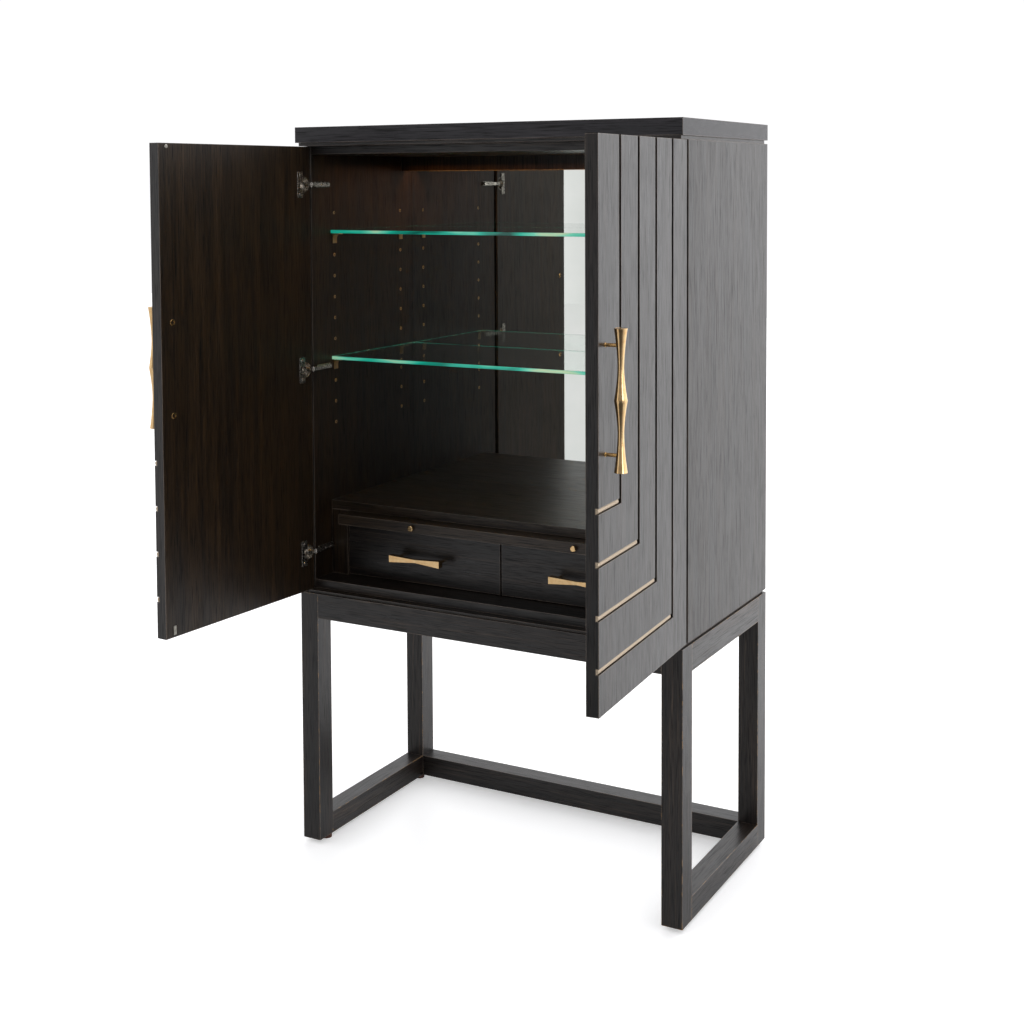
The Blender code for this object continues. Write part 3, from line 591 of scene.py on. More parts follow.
# %% [markdown]
# The small parts of the frame come next: drawer boxes, tray knobs, glides and what stays of the
# hinges. The drawer pulls are the door pulls' smaller cousins, filed square instead of turned.
# Each face is a flat wedge, so it lights up whole or not at all, and a file has eased its edges.

# %% Dress the small parts
FILED_EASE = 0.5 * MM
for side, word in SIDES:
    wear(f"drawer_box_{word}", drawer_wood)
    wear(f"tray_knob_{word}", brass_filed)
    wear(f"drawer_pull_{word}", brass_filed, FILED_EASE)
    for end in ("front", "rear"):
        wear(f"glide_{end}_{word}", glide_nylon)
    for k in (1, 2, 3):
        wear(f"hinge_cup_{word}_{k}", nickel)
        wear(f"hinge_arm_{word}_{k}", nickel)
print("drawer pulls, knobs, glides and drawer boxes dressed")

# %% [markdown]
# ## The doors
#
# Each door is a slab of veneered board with four L-shaped grooves routed in its outer face, one
# inside the other. It is made here as one closed skin over a grid: every cell of the grid is
# either field or groove, and a wall stands wherever two neighbours differ. That keeps the corners
# of the grooves crisp, and the bevel then eases only the real arrises.

# %% Where the grooves run
GROOVE_WIDTH, GROOVE_DEPTH = 10.8 * MM, 6.3 * MM
GROOVE_PITCH, GROOVE_COUNT = 97.2 * MM, 4
GROOVE_FIRST, GROOVE_LOWEST = 88.9 * MM, 84 * MM
GROOVE_FLOOR = DOOR_THICK - GROOVE_DEPTH
HINGE_CHAMFER = 3 * MM
upright_grooves = [GROOVE_FIRST + k * GROOVE_PITCH for k in range(GROOVE_COUNT)]
level_grooves = [DOOR_BOTTOM + GROOVE_LOWEST + k * GROOVE_PITCH for k in range(GROOVE_COUNT)]


def grooved(along, z):
    """Whether a place on the door's face is in a groove."""
    for upright, level in zip(upright_grooves, level_grooves):
        in_upright = abs(along - upright) < GROOVE_WIDTH / 2 and z > level - GROOVE_WIDTH / 2
        in_level = abs(z - level) < GROOVE_WIDTH / 2 and along > upright - GROOVE_WIDTH / 2
        if in_upright or in_level:
            return True
    return False


print("grooves at", ", ".join("%.0f" % (g / MM) for g in upright_grooves), "mm from the hinge edge")


# %% One skin over a grid
def door_skin(side):
    """A closed door as a bmesh, with its grooves and the chamfer on its hinge arris."""
    bm = bmesh.new()
    known = {}
    edges = [g + s * GROOVE_WIDTH / 2 for g in upright_grooves for s in (-1, 1)]
    levels = [g + s * GROOVE_WIDTH / 2 for g in level_grooves for s in (-1, 1)]
    edges = [0.0, HINGE_CHAMFER] + edges + [DOOR_WIDTH]
    levels = [DOOR_BOTTOM] + levels + [DOOR_TOP]

    def corner(along, into, z):
        key = (round(along, 6), round(into, 6), round(z, 6))
        if key not in known:
            known[key] = bm.verts.new(closed_point(side, along, into, z))
        return known[key]

    def inner(along):
        return HINGE_CHAMFER if along == 0.0 else 0.0

    def wall(points):
        bm.faces.new([corner(*p) for p in points])

    def depth(i, j):
        if not (0 <= i < len(edges) - 1 and 0 <= j < len(levels) - 1):
            return None
        middle = (edges[i] + edges[i + 1]) / 2, (levels[j] + levels[j + 1]) / 2
        return GROOVE_FLOOR if grooved(*middle) else DOOR_THICK

    for i, (a, b) in enumerate(zip(edges, edges[1:])):
        for j, (c, d) in enumerate(zip(levels, levels[1:])):
            here = depth(i, j)
            wall([(a, here, c), (b, here, c), (b, here, d), (a, here, d)])
            wall([(a, inner(a), c), (b, inner(b), c), (b, inner(b), d), (a, inner(a), d)])
            sides = (((a, c), (a, d), depth(i - 1, j)), ((b, c), (b, d), depth(i + 1, j)),
                     ((a, c), (b, c), depth(i, j - 1)), ((a, d), (b, d), depth(i, j + 1)))
            for (p, q), (r, s), other in sides:
                low_p, low_r = (p, GROOVE_FLOOR, q), (r, GROOVE_FLOOR, s)
                if other is None:
                    wall([(p, inner(p), q), (r, inner(r), s), low_r, low_p])
                if here == DOOR_THICK and other != DOOR_THICK:
                    wall([low_p, low_r, (r, here, s), (p, here, q)])
    bmesh.ops.recalc_face_normals(bm, faces=bm.faces)
    bmesh.ops.dissolve_limit(bm, angle_limit=math.radians(1), verts=bm.verts, edges=bm.edges)
    return bm


trial = door_skin(1)
print("door skin:", len(trial.faces), "faces,", len(trial.verts), "corners")
trial.free()

# %% [markdown]
# Three round holes are bored in the inner face for the hinge cups. A Boolean modifier cuts them,
# as a drill would, and is applied at once, so that the inner face can then be given its own stain.

# %% Door leaves
LEAF_EASE = 0.8 * MM
CUP_CENTRE, CUP_RADIUS, CUP_DEPTH = 23.5 * MM, 17.5 * MM, 15 * MM
DRILL_START = -5 * MM
HINGE_LOWEST, HINGE_HIGHEST = DOOR_BOTTOM + 90.8 * MM, DOOR_TOP - 88.8 * MM
HINGE_HEIGHTS = (HINGE_LOWEST, (HINGE_LOWEST + HINGE_HIGHEST) / 2, HINGE_HIGHEST)
FACES_IN = 0.7


def cut(piece, bm, matrix):
    """Cuts a bmesh out of a piece."""
    tool = make("tool", bm, piece.data.materials[0], None, matrix=matrix)
    hole = piece.modifiers.new("hole", "BOOLEAN")
    hole.object, hole.solver = tool, "EXACT"
    bpy.context.view_layer.update()
    whole = piece.evaluated_get(bpy.context.evaluated_depsgraph_get())
    piece.data = bpy.data.meshes.new_from_object(whole)
    piece.modifiers.clear()
    bpy.data.objects.remove(tool, do_unlink=True)


def build_leaf(side, word):
    """A grooved door with three cup holes, its inner face stained like the inside of the case."""
    matrix = door_matrix(side, word)
    leaf = make(f"leaf_{word}", door_skin(side), ash_upright, None, matrix=matrix)
    leaf.data.materials.append(ash_inside)
    drill = [(0, DRILL_START), (CUP_RADIUS, DRILL_START), (CUP_RADIUS, CUP_DEPTH), (0, CUP_DEPTH)]
    for z in HINGE_HEIGHTS:
        bm = bmesh.new()
        turned_into(bm, drill, lambda u, v, w, z=z: closed_point(side, CUP_CENTRE + u, w, z + v))
        cut(leaf, bm, matrix)
    inward = matrix.to_3x3() @ Vector((0, 1, 0))
    for face in leaf.data.polygons:
        face.material_index = 1 if face.normal.dot(inward) > FACES_IN else 0
    ease_edges(leaf, LEAF_EASE)
    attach(leaf, "door_" + word)
    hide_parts("door_" + word)


for side, word in SIDES:
    build_leaf(side, word)
print("doors:", len(upright_grooves), "grooves each,", len(HINGE_HEIGHTS), "cup holes each")

# %% [markdown]
# A gilt bead lies in each level groove, from the free edge to the corner. It is a rounded strip a
# little lower than the field, so its top catches the light and its foot stays dark.

# %% Gilt beads
BEAD_HALF, BEAD_FOOT, BEAD_RISE = GROOVE_WIDTH / 2 - 0.3 * MM, 0.6 * MM, 4.6 * MM
BEAD_ROOM, BEAD_SHORT = 1 * MM, 0.2 * MM


def build_beads(side, word):
    """Four half-round strips, one in each level groove."""
    arch = [(math.cos(math.radians(t)), math.sin(math.radians(t))) for t in range(0, 181, 15)]
    bead = [(u * BEAD_HALF, GROOVE_FLOOR + BEAD_FOOT + v * BEAD_RISE) for u, v in arch]
    outline = [(-BEAD_HALF, GROOVE_FLOOR), *reversed(bead), (BEAD_HALF, GROOVE_FLOOR)]
    bm = bmesh.new()
    for upright, level in zip(upright_grooves, level_grooves):
        prism_into(bm, outline, lambda u, v, w, level=level: closed_point(side, w, v, level + u),
                   upright + GROOVE_WIDTH / 2 + BEAD_ROOM, DOOR_WIDTH - BEAD_SHORT)
    make(f"gilt_beads_{word}", bm, gilt, "door_" + word, smooth=True, matrix=door_matrix(side, word))


for side, word in SIDES:
    build_beads(side, word)
print("gilt beads: %.1f mm wide, %.1f mm high" % (2 * BEAD_HALF / MM, (BEAD_FOOT + BEAD_RISE) / MM))

# %% [markdown]
# ## Turned door pulls
#
# Each pull is a bar turned on a lathe: thick at both ends and at a crisp ridge in the middle, with
# a long hollow curve between. It could be a cylinder squeezed by hand, but a profile turned round
# an axis is what a lathe makes. The hollow is a power curve, flat at the neck, steep at the ridge.

# %% The bar
PULL_ALONG = DOOR_WIDTH - 33.5 * MM
PULL_LOW, PULL_LENGTH = DOOR_BOTTOM + 442.8 * MM, 260.6 * MM
PULL_AXIS = DOOR_THICK + 29.5 * MM
END_RADIUS, NECK_RADIUS, NECK_FROM_END = 12.4 * MM, 6.0 * MM, 70.4 * MM
HOLLOW_POWER, HOLLOW_STEPS, BAR_SIDES = 1.7, 22, 64


def hollow(place):
    """Radius of the pull at a place in its first half, on a curve that is thinnest at the neck."""
    reach = NECK_FROM_END if place < NECK_FROM_END else PULL_LENGTH / 2 - NECK_FROM_END
    rise = (abs(place - NECK_FROM_END) / reach) ** HOLLOW_POWER
    return NECK_RADIUS + (END_RADIUS - NECK_RADIUS) * rise


def pull_profile():
    """Half the pull, from its dished end to the ridge, mirrored into the whole."""
    places = [k / HOLLOW_STEPS * PULL_LENGTH / 2 for k in range(1, HOLLOW_STEPS + 1)]
    end = [(0.0, 0.3 * MM), (END_RADIUS - 1.6 * MM, 0.3 * MM), (END_RADIUS - 1.2 * MM, 0.0),
           (END_RADIUS - 0.5 * MM, 0.0), (END_RADIUS, 0.5 * MM)]
    whole = end + [(hollow(place), place) for place in places]
    return whole + [(r, PULL_LENGTH - z) for r, z in reversed(whole[:-1])]


def build_bar(side, word):
    """The turned bar of one pull."""
    bm = bmesh.new()
    turned_into(bm, pull_profile(),
                lambda u, v, w: closed_point(side, PULL_ALONG + u, PULL_AXIS + v, PULL_LOW + w), BAR_SIDES)
    bar = make(f"pull_bar_{word}", bm, brass_turned, "door_" + word, smooth=True,
               matrix=door_matrix(side, word))
    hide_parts("door_pull_" + word)


for side, word in SIDES:
    build_bar(side, word)
print("door pulls: %.0f mm long, %.0f mm across" % (PULL_LENGTH / MM, 2 * END_RADIUS / MM))

# %% [markdown]
# Two slim cast posts hold each bar off the door. They flare where they meet the veneer, and on the
# inner face a small domed cap covers the screw. Both are turned profiles at the same two places,
# so one function makes them.

# %% Posts and screw caps
POST_INSET, POST_SIDES = 31 * MM, 32
POST = in_mm([(0, 0.0), (4.4, 0.0), (3.8, 1.2), (3.5, 3.0), (3.5, 29.5), (0, 29.5)])
CAP = in_mm([(0, 0.2), (3.4, 0.2), (3.8, -0.7), (5.6, -1.0), (6.6, -0.6), (7.0, 0.2), (0, 0.3)])


def build_at_posts(name, side, word, profile, start):
    """Turns a profile at both posts, from a depth into the door."""
    bm = bmesh.new()
    for z in (PULL_LOW + POST_INSET, PULL_LOW + PULL_LENGTH - POST_INSET):
        turned_into(bm, profile,
                    lambda u, v, w, z=z: closed_point(side, PULL_ALONG + u, start + w, z + v), POST_SIDES)
    make(f"{name}_{word}", bm, brass_cast, "door_" + word, smooth=True, matrix=door_matrix(side, word))


for side, word in SIDES:
    build_at_posts("pull_posts", side, word, POST, DOOR_THICK)
    build_at_posts("screw_caps", side, word, CAP, 0.0)
print("posts: %.1f mm apart" % ((PULL_LENGTH - 2 * POST_INSET) / MM))

# %% [markdown]
# Where a door meets the case, a fitter sticks two bumpers near its free edge, so that it closes
# without a knock: a clear dome at the top, and a small pad at the bottom.

# %% Bumpers
DOME = in_mm([(0, 0.1), (4.3, 0.1), (4.1, -0.9), (2.8, -1.5), (0, -1.6)])
DOME_FROM_EDGE, DOME_FROM_TOP, DOME_SIDES = 22.5 * MM, 6.8 * MM, 32
PAD_FROM_EDGE, PAD_FROM_BOTTOM = 25.5 * MM, 15 * MM
PAD_LOW, PAD_HIGH = Vector((-3.5, -0.1, -9.5)) * MM, Vector((3.5, 1.4, 9.5)) * MM


def build_bumpers(side, word):
    """The dome and the pad of one door."""
    bm = bmesh.new()
    turned_into(bm, DOME, lambda u, v, w: closed_point(side, DOOR_WIDTH - DOME_FROM_EDGE + u, w,
                                                       DOOR_TOP - DOME_FROM_TOP + v), DOME_SIDES)
    pad = closed_point(side, DOOR_WIDTH - PAD_FROM_EDGE, 0, DOOR_BOTTOM + PAD_FROM_BOTTOM)
    box_into(bm, pad + PAD_LOW, pad + PAD_HIGH)
    make(f"bumpers_{word}", bm, clear_rubber, "door_" + word, smooth=True, matrix=door_matrix(side, word))


for side, word in SIDES:
    build_bumpers(side, word)
print("bumpers: two on each door")

# %% [markdown]
# ## Hinges
#
# Each door hangs on three concealed hinges, the kind with a round cup let into the door. The cup
# is deep-drawn steel with a thin rim and two screwed ears. The arm is screwed to the side panel,
# and its nose reaches for the cup. With the door open, nose and cup stand apart.
# The outlines here are in millimetres, as a hinge maker's drawing gives them.

# %% Hinge cups, on the doors
BOWL = in_mm([(0, 12.9), (10.0, 12.9), (13.5, 11.6), (15.4, 8.6), (15.9, 0.4), (16.2, -0.9), (16.8, -1.2),
              (17.7, -1.2), (18.0, -0.8), (18.0, -0.05), (17.4, -0.05), (17.4, 13.5), (0, 13.5)])
EARS = in_mm([(28, 9), (38.5, 9), (38.5, -9), (28, -9), (28, -28), (30.5, -30.5), (45.5, -30.5),
              (48, -28), (48, 28), (45.5, 30.5), (30.5, 30.5), (28, 28)])
EAR_FRONT, EAR_BACK, EAR_EASE = -2.0 * MM, -0.1 * MM, 0.5 * MM
EAR_SCREW_ALONG, EAR_SCREW_FROM_CENTRE = 38 * MM, 22.5 * MM
EAR_SCREW, ARM_SCREW, SCREW_SIDES = 3.6, 3.2, 24


def screw_into(bm, place, radius):
    """A domed screw head with a small socket; place turns (u, v, w) into a point, w outward."""
    head = [(0, 0.0), (radius, 0.0), (radius - 0.4, 0.45), (radius - 1.2, 0.7), (0.9, 0.75),
            (0.6, 0.3), (0, 0.3)]
    turned_into(bm, in_mm(head), place, SCREW_SIDES)


def build_cup(side, word, index, z):
    """A hinge's cup, ears and ear screws."""
    body, matrix = "door_" + word, door_matrix(side, word)
    bm = bmesh.new()
    turned_into(bm, BOWL, lambda u, v, w: closed_point(side, CUP_CENTRE + u, w, z + v))
    cup = make(f"cup_{word}_{index}", bm, nickel, body, smooth=True, matrix=matrix)
    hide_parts(f"hinge_cup_{word}_{index}")
    bm = bmesh.new()
    prism_into(bm, EARS, lambda u, v, w: closed_point(side, u, w, z + v), EAR_FRONT, EAR_BACK)
    make(f"ears_{word}_{index}", bm, nickel, body, ease=EAR_EASE, matrix=matrix)
    bm = bmesh.new()
    for v in (-EAR_SCREW_FROM_CENTRE, EAR_SCREW_FROM_CENTRE):
        screw_into(bm, lambda a, b, w, v=v: closed_point(side, EAR_SCREW_ALONG + a, EAR_FRONT - w, z + v + b),
                   EAR_SCREW)
    make(f"ear_screws_{word}_{index}", bm, nickel, body, smooth=True, matrix=matrix)


for side, word in SIDES:
    for index, z in enumerate(HINGE_HEIGHTS, 1):
        build_cup(side, word, index, z)
print("hinge cups:", 2 * len(HINGE_HEIGHTS))

# %% [markdown]
# The arm is one channel of pressed steel on a flat plate. Its outline is drawn from the side,
# as (out from the panel, back from the case's front), and pushed to the arm's width.

# %% Hinge arms, on the side panels
PLATE_START, PLATE_HALF, PLATE_EASE = 12 * MM, 6.4 * MM, 0.6 * MM
PLATE_SUNK, PLATE_TOP = 0.1 * MM, 2.6 * MM
ARM = in_mm([(2.6, 66), (2.6, 20), (6.0, 4.0), (6.0, -15.0), (9.0, -15.0), (13.4, -12.0), (13.4, 10),
             (12.6, 14), (10.4, 24), (10.0, 58), (7.5, 66)])
ARM_HALF, ARM_EASE = 4.6 * MM, 0.8 * MM
ARM_SCREWS, ARM_SCREW_OUT = (30 * MM, 50 * MM), 10.1 * MM
NOSE_PIN = in_mm([(0, 0), (2.1, 0), (2.1, 1.4), (0, 1.4)])
NOSE_FROM_SIDE, NOSE_AHEAD, NOSE_SIDES = 31.75 * MM, 11 * MM, 20


def build_arm(side, word, index):
    """A hinge's plate, arm, screws and nose pins."""
    low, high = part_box(f"hinge_arm_{word}_{index}")
    wall, middle = side * INNER, (low.z + high.z) / 2
    bm = bmesh.new()
    box_into(bm, (wall - side * PLATE_SUNK, CASE_FRONT + PLATE_START, middle - PLATE_HALF),
             (wall - side * PLATE_TOP, high.y, middle + PLATE_HALF))
    plate = make(f"arm_plate_{word}_{index}", bm, nickel, "cabinet", ease=PLATE_EASE)
    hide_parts(f"hinge_arm_{word}_{index}")
    bm = bmesh.new()
    prism_into(bm, ARM, lambda u, v, w: Vector((wall - side * u, CASE_FRONT + v, w)),
               middle - ARM_HALF, middle + ARM_HALF)
    make(f"arm_{word}_{index}", bm, nickel, "cabinet", ease=ARM_EASE)
    bm = bmesh.new()
    for y in ARM_SCREWS:
        screw_into(bm, lambda a, b, w, y=y: Vector((wall - side * (ARM_SCREW_OUT + w), CASE_FRONT + y + a,
                                                    middle + b)), ARM_SCREW)
    nose = Vector((side * (HALF - NOSE_FROM_SIDE), CASE_FRONT - NOSE_AHEAD, middle))
    for way in (-1, 1):
        turned_into(bm, NOSE_PIN, lambda a, b, w, way=way: nose + Vector((a, b, way * (ARM_HALF + w))),
                    NOSE_SIDES)
    make(f"arm_screws_{word}_{index}", bm, nickel, "cabinet", smooth=True)


for side, word in SIDES:
    for index in range(1, len(HINGE_HEIGHTS) + 1):
        build_arm(side, word, index)
print("hinge arms: %.1f mm wide" % (2 * ARM_HALF / MM))

# %% [markdown]
# ## Side panels, shelf pins and glass
#
# Each side panel is drilled with two columns of holes for the shelf pins, and every hole is lined
# with a small brass sleeve. The glass shelves rest on brass brackets pushed into those holes.
# The panel is made again here because its two faces differ: satin black outside, and the warmer
# stain of the inside on the inner face.

# %% Side panels
FACES_INWARD = -0.5


def build_side_panel(side, word):
    """A side panel with its own stain on each face."""
    bm = bmesh.new()
    box_into(bm, (side * INNER, CASE_FRONT, panel_low.z), (side * HALF, CASE_BACK, panel_high.z))
    board = make(f"panel_{word}", bm, ash_panel, "cabinet")
    board.data.materials.append(ash_inside)
    for face in board.data.polygons:
        face.material_index = 1 if face.normal.x * side < FACES_INWARD else 0
    ease_edges(board, CASE_EASE)
    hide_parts("side_panel_" + word)


for side, word in SIDES:
    build_side_panel(side, word)
print("side panels: %.0f mm thick" % (PANEL / MM))

# %% [markdown]
# The pin holes could be cut with a Boolean, but 44 cuts make a heavy panel for what is only a dark
# dot. So each hole is a thin brass ring with a disc of painted shade in it, a hair proud of the board.
# A bracket is one outline, an L with a stout corner, pushed to its width.

# %% Sleeves and brackets
SHELVES = ("glass_shelf_lower", "glass_shelf_upper")
shelf_low, shelf_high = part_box(SHELVES[0])
PIN_PITCH, PIN_TOP, PIN_ROWS, PIN_SIDES = 50.8 * MM, 1.508, 11, 20
PIN_COLUMNS = (shelf_low.y + 17 * MM, MIRROR_FACE - 55.5 * MM)
SLEEVE = in_mm([(2.5, 0.15), (2.6, 0.5), (3.4, 0.5), (3.9, 0.05)])
HOLE = in_mm([(0, 0.2), (2.6, 0.2)])
BRACKET = in_mm([(0.1, 0), (20, 0), (20, -2.3), (9, -3.0), (4.6, -6.0), (2.6, -11), (2.5, -24), (0.1, -24)])
BRACKET_HALF, BRACKET_EASE, BRACKET_GAP = 7.5 * MM, 0.5 * MM, 0.35 * MM


def build_pins(side, word):
    """The sleeves and painted-shade hole discs of one panel, and the four brackets that stand in them."""
    wall = side * INNER
    rings, holes, brackets = bmesh.new(), bmesh.new(), bmesh.new()
    for y in PIN_COLUMNS:
        for k in range(PIN_ROWS):
            def out(a, b, w, y=y, z=PIN_TOP - k * PIN_PITCH):
                return Vector((wall - side * w, y + a, z + b))

            turned_into(rings, SLEEVE, out, PIN_SIDES)
            turned_into(holes, HOLE, out, PIN_SIDES)
        for shelf in SHELVES:
            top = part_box(shelf)[0].z - BRACKET_GAP
            prism_into(brackets, BRACKET,
                       lambda u, v, w, y=y, top=top: Vector((wall - side * u, y + w, top + v)),
                       -BRACKET_HALF, BRACKET_HALF)
    make(f"pin_sleeves_{word}", rings, sleeve_brass, "cabinet", smooth=True)
    make(f"pin_holes_{word}", holes, hole_shade, "cabinet")
    make(f"shelf_brackets_{word}", brackets, sleeve_brass, "cabinet", ease=BRACKET_EASE)


for side, word in SIDES:
    build_pins(side, word)
print("pins: two columns of", PIN_ROWS, "holes, %.1f mm apart" % (PIN_PITCH / MM))

# %% [markdown]
# A shelf is one sheet of glass. It is one closed box, as glass has to be for light to bend through
# it, and only its narrow faces take the edge's material. The bevel is the polisher's arris.

# %% Glass shelves with polished edges
SHELF_EASE, SHELF_STEPS = 0.7 * MM, 2
LEVEL_FACE = 0.5


def build_shelf(node):
    """A sheet of glass whose four narrow faces carry the painted green glow."""
    bm = bmesh.new()
    box_into(bm, *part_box(node))
    shelf = make(node.replace("glass_shelf", "shelf"), bm, shelf_glass, "cabinet")
    shelf.data.materials.append(shelf_edge_glow)
    for face in shelf.data.polygons:
        face.material_index = 0 if abs(face.normal.z) > LEVEL_FACE else 1
    ease_edges(shelf, SHELF_EASE, SHELF_STEPS)
    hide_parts(node)


for node in SHELVES:
    build_shelf(node)
print("shelves: %.0f mm thick" % ((shelf_high.z - shelf_low.z) / MM))

# %% [markdown]
# ## Floor, light and camera
#
# The cabinet stands in a white studio. The floor and the backdrop are bright enough to read as
# one white field. Behind the cabinet, to its right, the backdrop is brightest, and that is what
# makes its black sides read as soft grey: satin lacquer shows what it faces. In front the room is
# dim, so the floor there is darker to every ray but the eye's own.

# %% The floor
FLOOR_SIZE, FLOOR_GLOW, FLOOR_SHADE = 14.0, 0.42, 0.22
SWEEP_FRONT, SWEEP_FRONT_FADE = -0.85, 0.7
SWEEP_LEFT, SWEEP_LEFT_FADE = -0.55, 0.5
BEHIND_FROM, BEHIND_TO = 0.2, 1.5
DIM_FLOOR = "#3c3c3e"


def studio_paper(name):
    """Matt white paper with a faint cloud: to the eye a blank field that still takes soft shadows."""
    material, tree, shader = new_material(name, Roughness=0.32, IOR=1.45)
    point = add_node(tree, "ShaderNodeTexCoord", take="Object")
    cloud = add_node(tree, "ShaderNodeTexNoise", {"Vector": point, "Scale": 0.8})
    paper = add_node(tree, "ShaderNodeValToRGB", [cloud], stops=((0.3, "#f6f6f6"), (0.7, "#f9f9f9")))
    x, y = [add_node(tree, "ShaderNodeSeparateXYZ", [point], take=axis) for axis in "XY"]
    forward = add_node(tree, "ShaderNodeMapRange", [y, SWEEP_FRONT, SWEEP_FRONT - SWEEP_FRONT_FADE, 0.0, 1.0])
    rightward = add_node(tree, "ShaderNodeMapRange", [x, SWEEP_LEFT, SWEEP_LEFT + SWEEP_LEFT_FADE, 0.0, 1.0])
    corner = add_node(tree, "ShaderNodeMath", [forward, rightward], operation="MULTIPLY")
    behind = add_node(tree, "ShaderNodeMapRange", [y, BEHIND_FROM, BEHIND_TO, 0.0, 1.0])
    ahead = add_node(tree, "ShaderNodeMapRange", [y, BEHIND_FROM, BEHIND_TO, FLOOR_SHADE, 0.0])
    darker = add_node(tree, "ShaderNodeMath", [corner, ahead], operation="MAXIMUM")
    seen = add_node(tree, "ShaderNodeLightPath", take="Is Camera Ray")
    hidden = add_node(tree, "ShaderNodeMath", [1.0, seen], operation="SUBTRACT")
    room = add_node(tree, "ShaderNodeMath", [darker, hidden], operation="MULTIPLY")
    shade = add_node(tree, "ShaderNodeMix", {"Factor": room, "A": paper, "B": colour(DIM_FLOOR)},
                     data_type="RGBA")
    lit = add_node(tree, "ShaderNodeMath", [seen, behind], operation="MAXIMUM")
    glow = add_node(tree, "ShaderNodeMath", [lit, FLOOR_GLOW], operation="MULTIPLY")
    feed(shader, Base_Color=shade, Emission_Color=shade, Emission_Strength=glow)
    return material


bm = bmesh.new()
bmesh.ops.create_grid(bm, x_segments=4, y_segments=4, size=FLOOR_SIZE)
floor = make("studio_floor", bm, studio_paper("studio_white"), None)
print("floor: %.0f m across" % (2 * FLOOR_SIZE))

# %% [markdown]
# The world gives soft light from all round. Its strength depends only on direction: brightest
# behind on the right, dim in front, with one softbox on the right whose reflection slides along
# the brass. The eye itself sees an even white.

# %% The world
SOFT_LEVEL, BRIGHT_LEVEL, BRIGHT_SIDE = 1.0, 1.95, (0.62, 0.78, 0.05)
DIM_SHARE, DIM_SIDE = 0.38, (0.30, -0.95, 0.0)
SOFTBOX_LEVEL, SOFTBOX_SIDE = 3.0, Vector((0.88, -0.45, 0.15)).normalized()
BACKDROP_WHITE, BACKDROP_LEVEL = "#fdfdff", 1.05


def light_world():
    """Sets the world's light by direction."""
    world = bpy.data.worlds.new("studio")
    bpy.context.scene.world = world
    world.use_nodes = True
    tree = world.node_tree
    backdrop = tree.nodes["Background"]
    direction = add_node(tree, "ShaderNodeTexCoord", take="Generated")

    def toward(side, start, full, low, high):
        facing = add_node(tree, "ShaderNodeVectorMath", [direction, side], operation="DOT_PRODUCT")
        return add_node(tree, "ShaderNodeMapRange", [facing, start, full, low, high])

    bright = toward(BRIGHT_SIDE, 0.30, 0.95, SOFT_LEVEL, BRIGHT_LEVEL)
    dim = toward(DIM_SIDE, 0.70, 0.79, 1.0, DIM_SHARE)
    softbox = toward(SOFTBOX_SIDE, 0.965, 0.985, 0.0, SOFTBOX_LEVEL)
    room = add_node(tree, "ShaderNodeMath", [bright, dim], operation="MULTIPLY")
    level = add_node(tree, "ShaderNodeMath", [room, softbox], operation="ADD")
    seen = add_node(tree, "ShaderNodeLightPath", take="Is Camera Ray")
    strength = add_node(tree, "ShaderNodeMix", {"Factor": seen, "A": level, "B": BACKDROP_LEVEL})
    tree.links.new(strength, backdrop.inputs["Strength"])
    backdrop.inputs["Color"].default_value = colour(BACKDROP_WHITE)


light_world()
print("world: brightest side at %.2f times the rest" % (BRIGHT_LEVEL / SOFT_LEVEL))

# %% [markdown]
# The light strip under the top is too small and weak to light the inside well by itself in few
# samples. A warm area lamp just below it does that, and a second, wider one stands for the light
# that the shelves, mirror and boards around it pass on.

# %% The lamps behind the valance
STRIP_POWER, STRIP_BELOW = 1.2, 3 * MM
BOUNCE_POWER, BOUNCE_BELOW, BOUNCE_DEPTH, BOUNCE_FORWARD = 1.5, 10 * MM, 300 * MM, 200 * MM
WARM_WHITE = "#ffb45c"


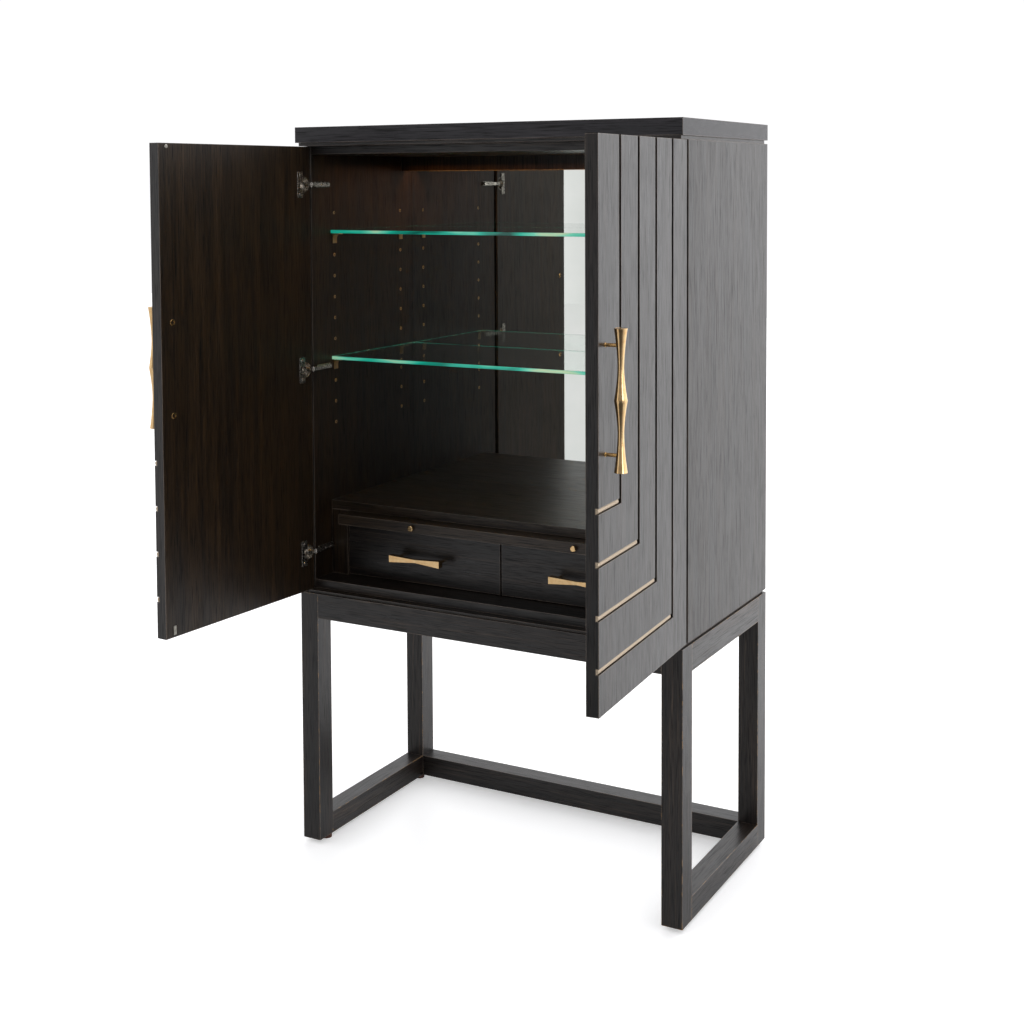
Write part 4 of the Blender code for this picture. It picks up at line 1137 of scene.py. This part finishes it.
def make_lamp(name, width, depth, place, power):
    """A warm area lamp that shines down and isn't itself seen."""
    lamp = bpy.data.lights.new(name, "AREA")
    lamp.shape = "RECTANGLE"
    lamp.size, lamp.size_y = width, depth
    lamp.color = colour(WARM_WHITE)[:3]
    lamp.energy = power
    piece = bpy.data.objects.new(name, lamp)
    bpy.context.collection.objects.link(piece)
    piece.location = place
    piece.visible_camera = piece.visible_glossy = False


strip_low, strip_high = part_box("light_bar")
strip_length, strip_middle = strip_high.x - strip_low.x, (strip_low.y + strip_high.y) / 2
make_lamp("strip_lamp", strip_length, strip_high.y - strip_low.y,
          (0, strip_middle, strip_low.z - STRIP_BELOW), STRIP_POWER)
make_lamp("strip_bounce", strip_length, BOUNCE_DEPTH,
          (0, strip_middle - BOUNCE_FORWARD, strip_low.z - BOUNCE_BELOW), BOUNCE_POWER)
print("lamps: %.0f mm long" % (strip_length / MM))

# %% [markdown]
# The camera stands at the right, a little below the cabinet's top, and looks almost level, so
# that upright edges stay nearly upright. The lens is shifted down rather than the camera tilted.

# %% The camera
VIEW_AZIMUTH, VIEW_DROP, VIEW_ROLL = 28.79, 3.05, -0.264
VIEW_RIGHT, VIEW_AHEAD, VIEW_HEIGHT = 1.6824, 3.1551, 1.5763
LENS, SENSOR, LENS_SHIFT = 53.57, 36.0, -0.2415
eye = bpy.data.cameras.new("eye")
eye.lens, eye.sensor_width, eye.shift_y = LENS, SENSOR, LENS_SHIFT
viewer = bpy.data.objects.new("viewer", eye)
bpy.context.collection.objects.link(viewer)
viewer.location = (VIEW_RIGHT, (slab_low.y + slab_high.y) / 2 - VIEW_AHEAD, VIEW_HEIGHT)
turn = Matrix.Rotation(math.radians(VIEW_AZIMUTH), 4, "Z")
tilt = Matrix.Rotation(math.radians(90 - VIEW_DROP), 4, "X")
roll = Matrix.Rotation(math.radians(VIEW_ROLL), 4, "Z")
viewer.rotation_euler = (turn @ tilt @ roll).to_euler()
bpy.context.scene.camera = viewer
bpy.context.scene.view_settings.view_transform = "Standard"
print("camera: %.2f m away, %.1f mm lens" % (viewer.location.length, LENS))
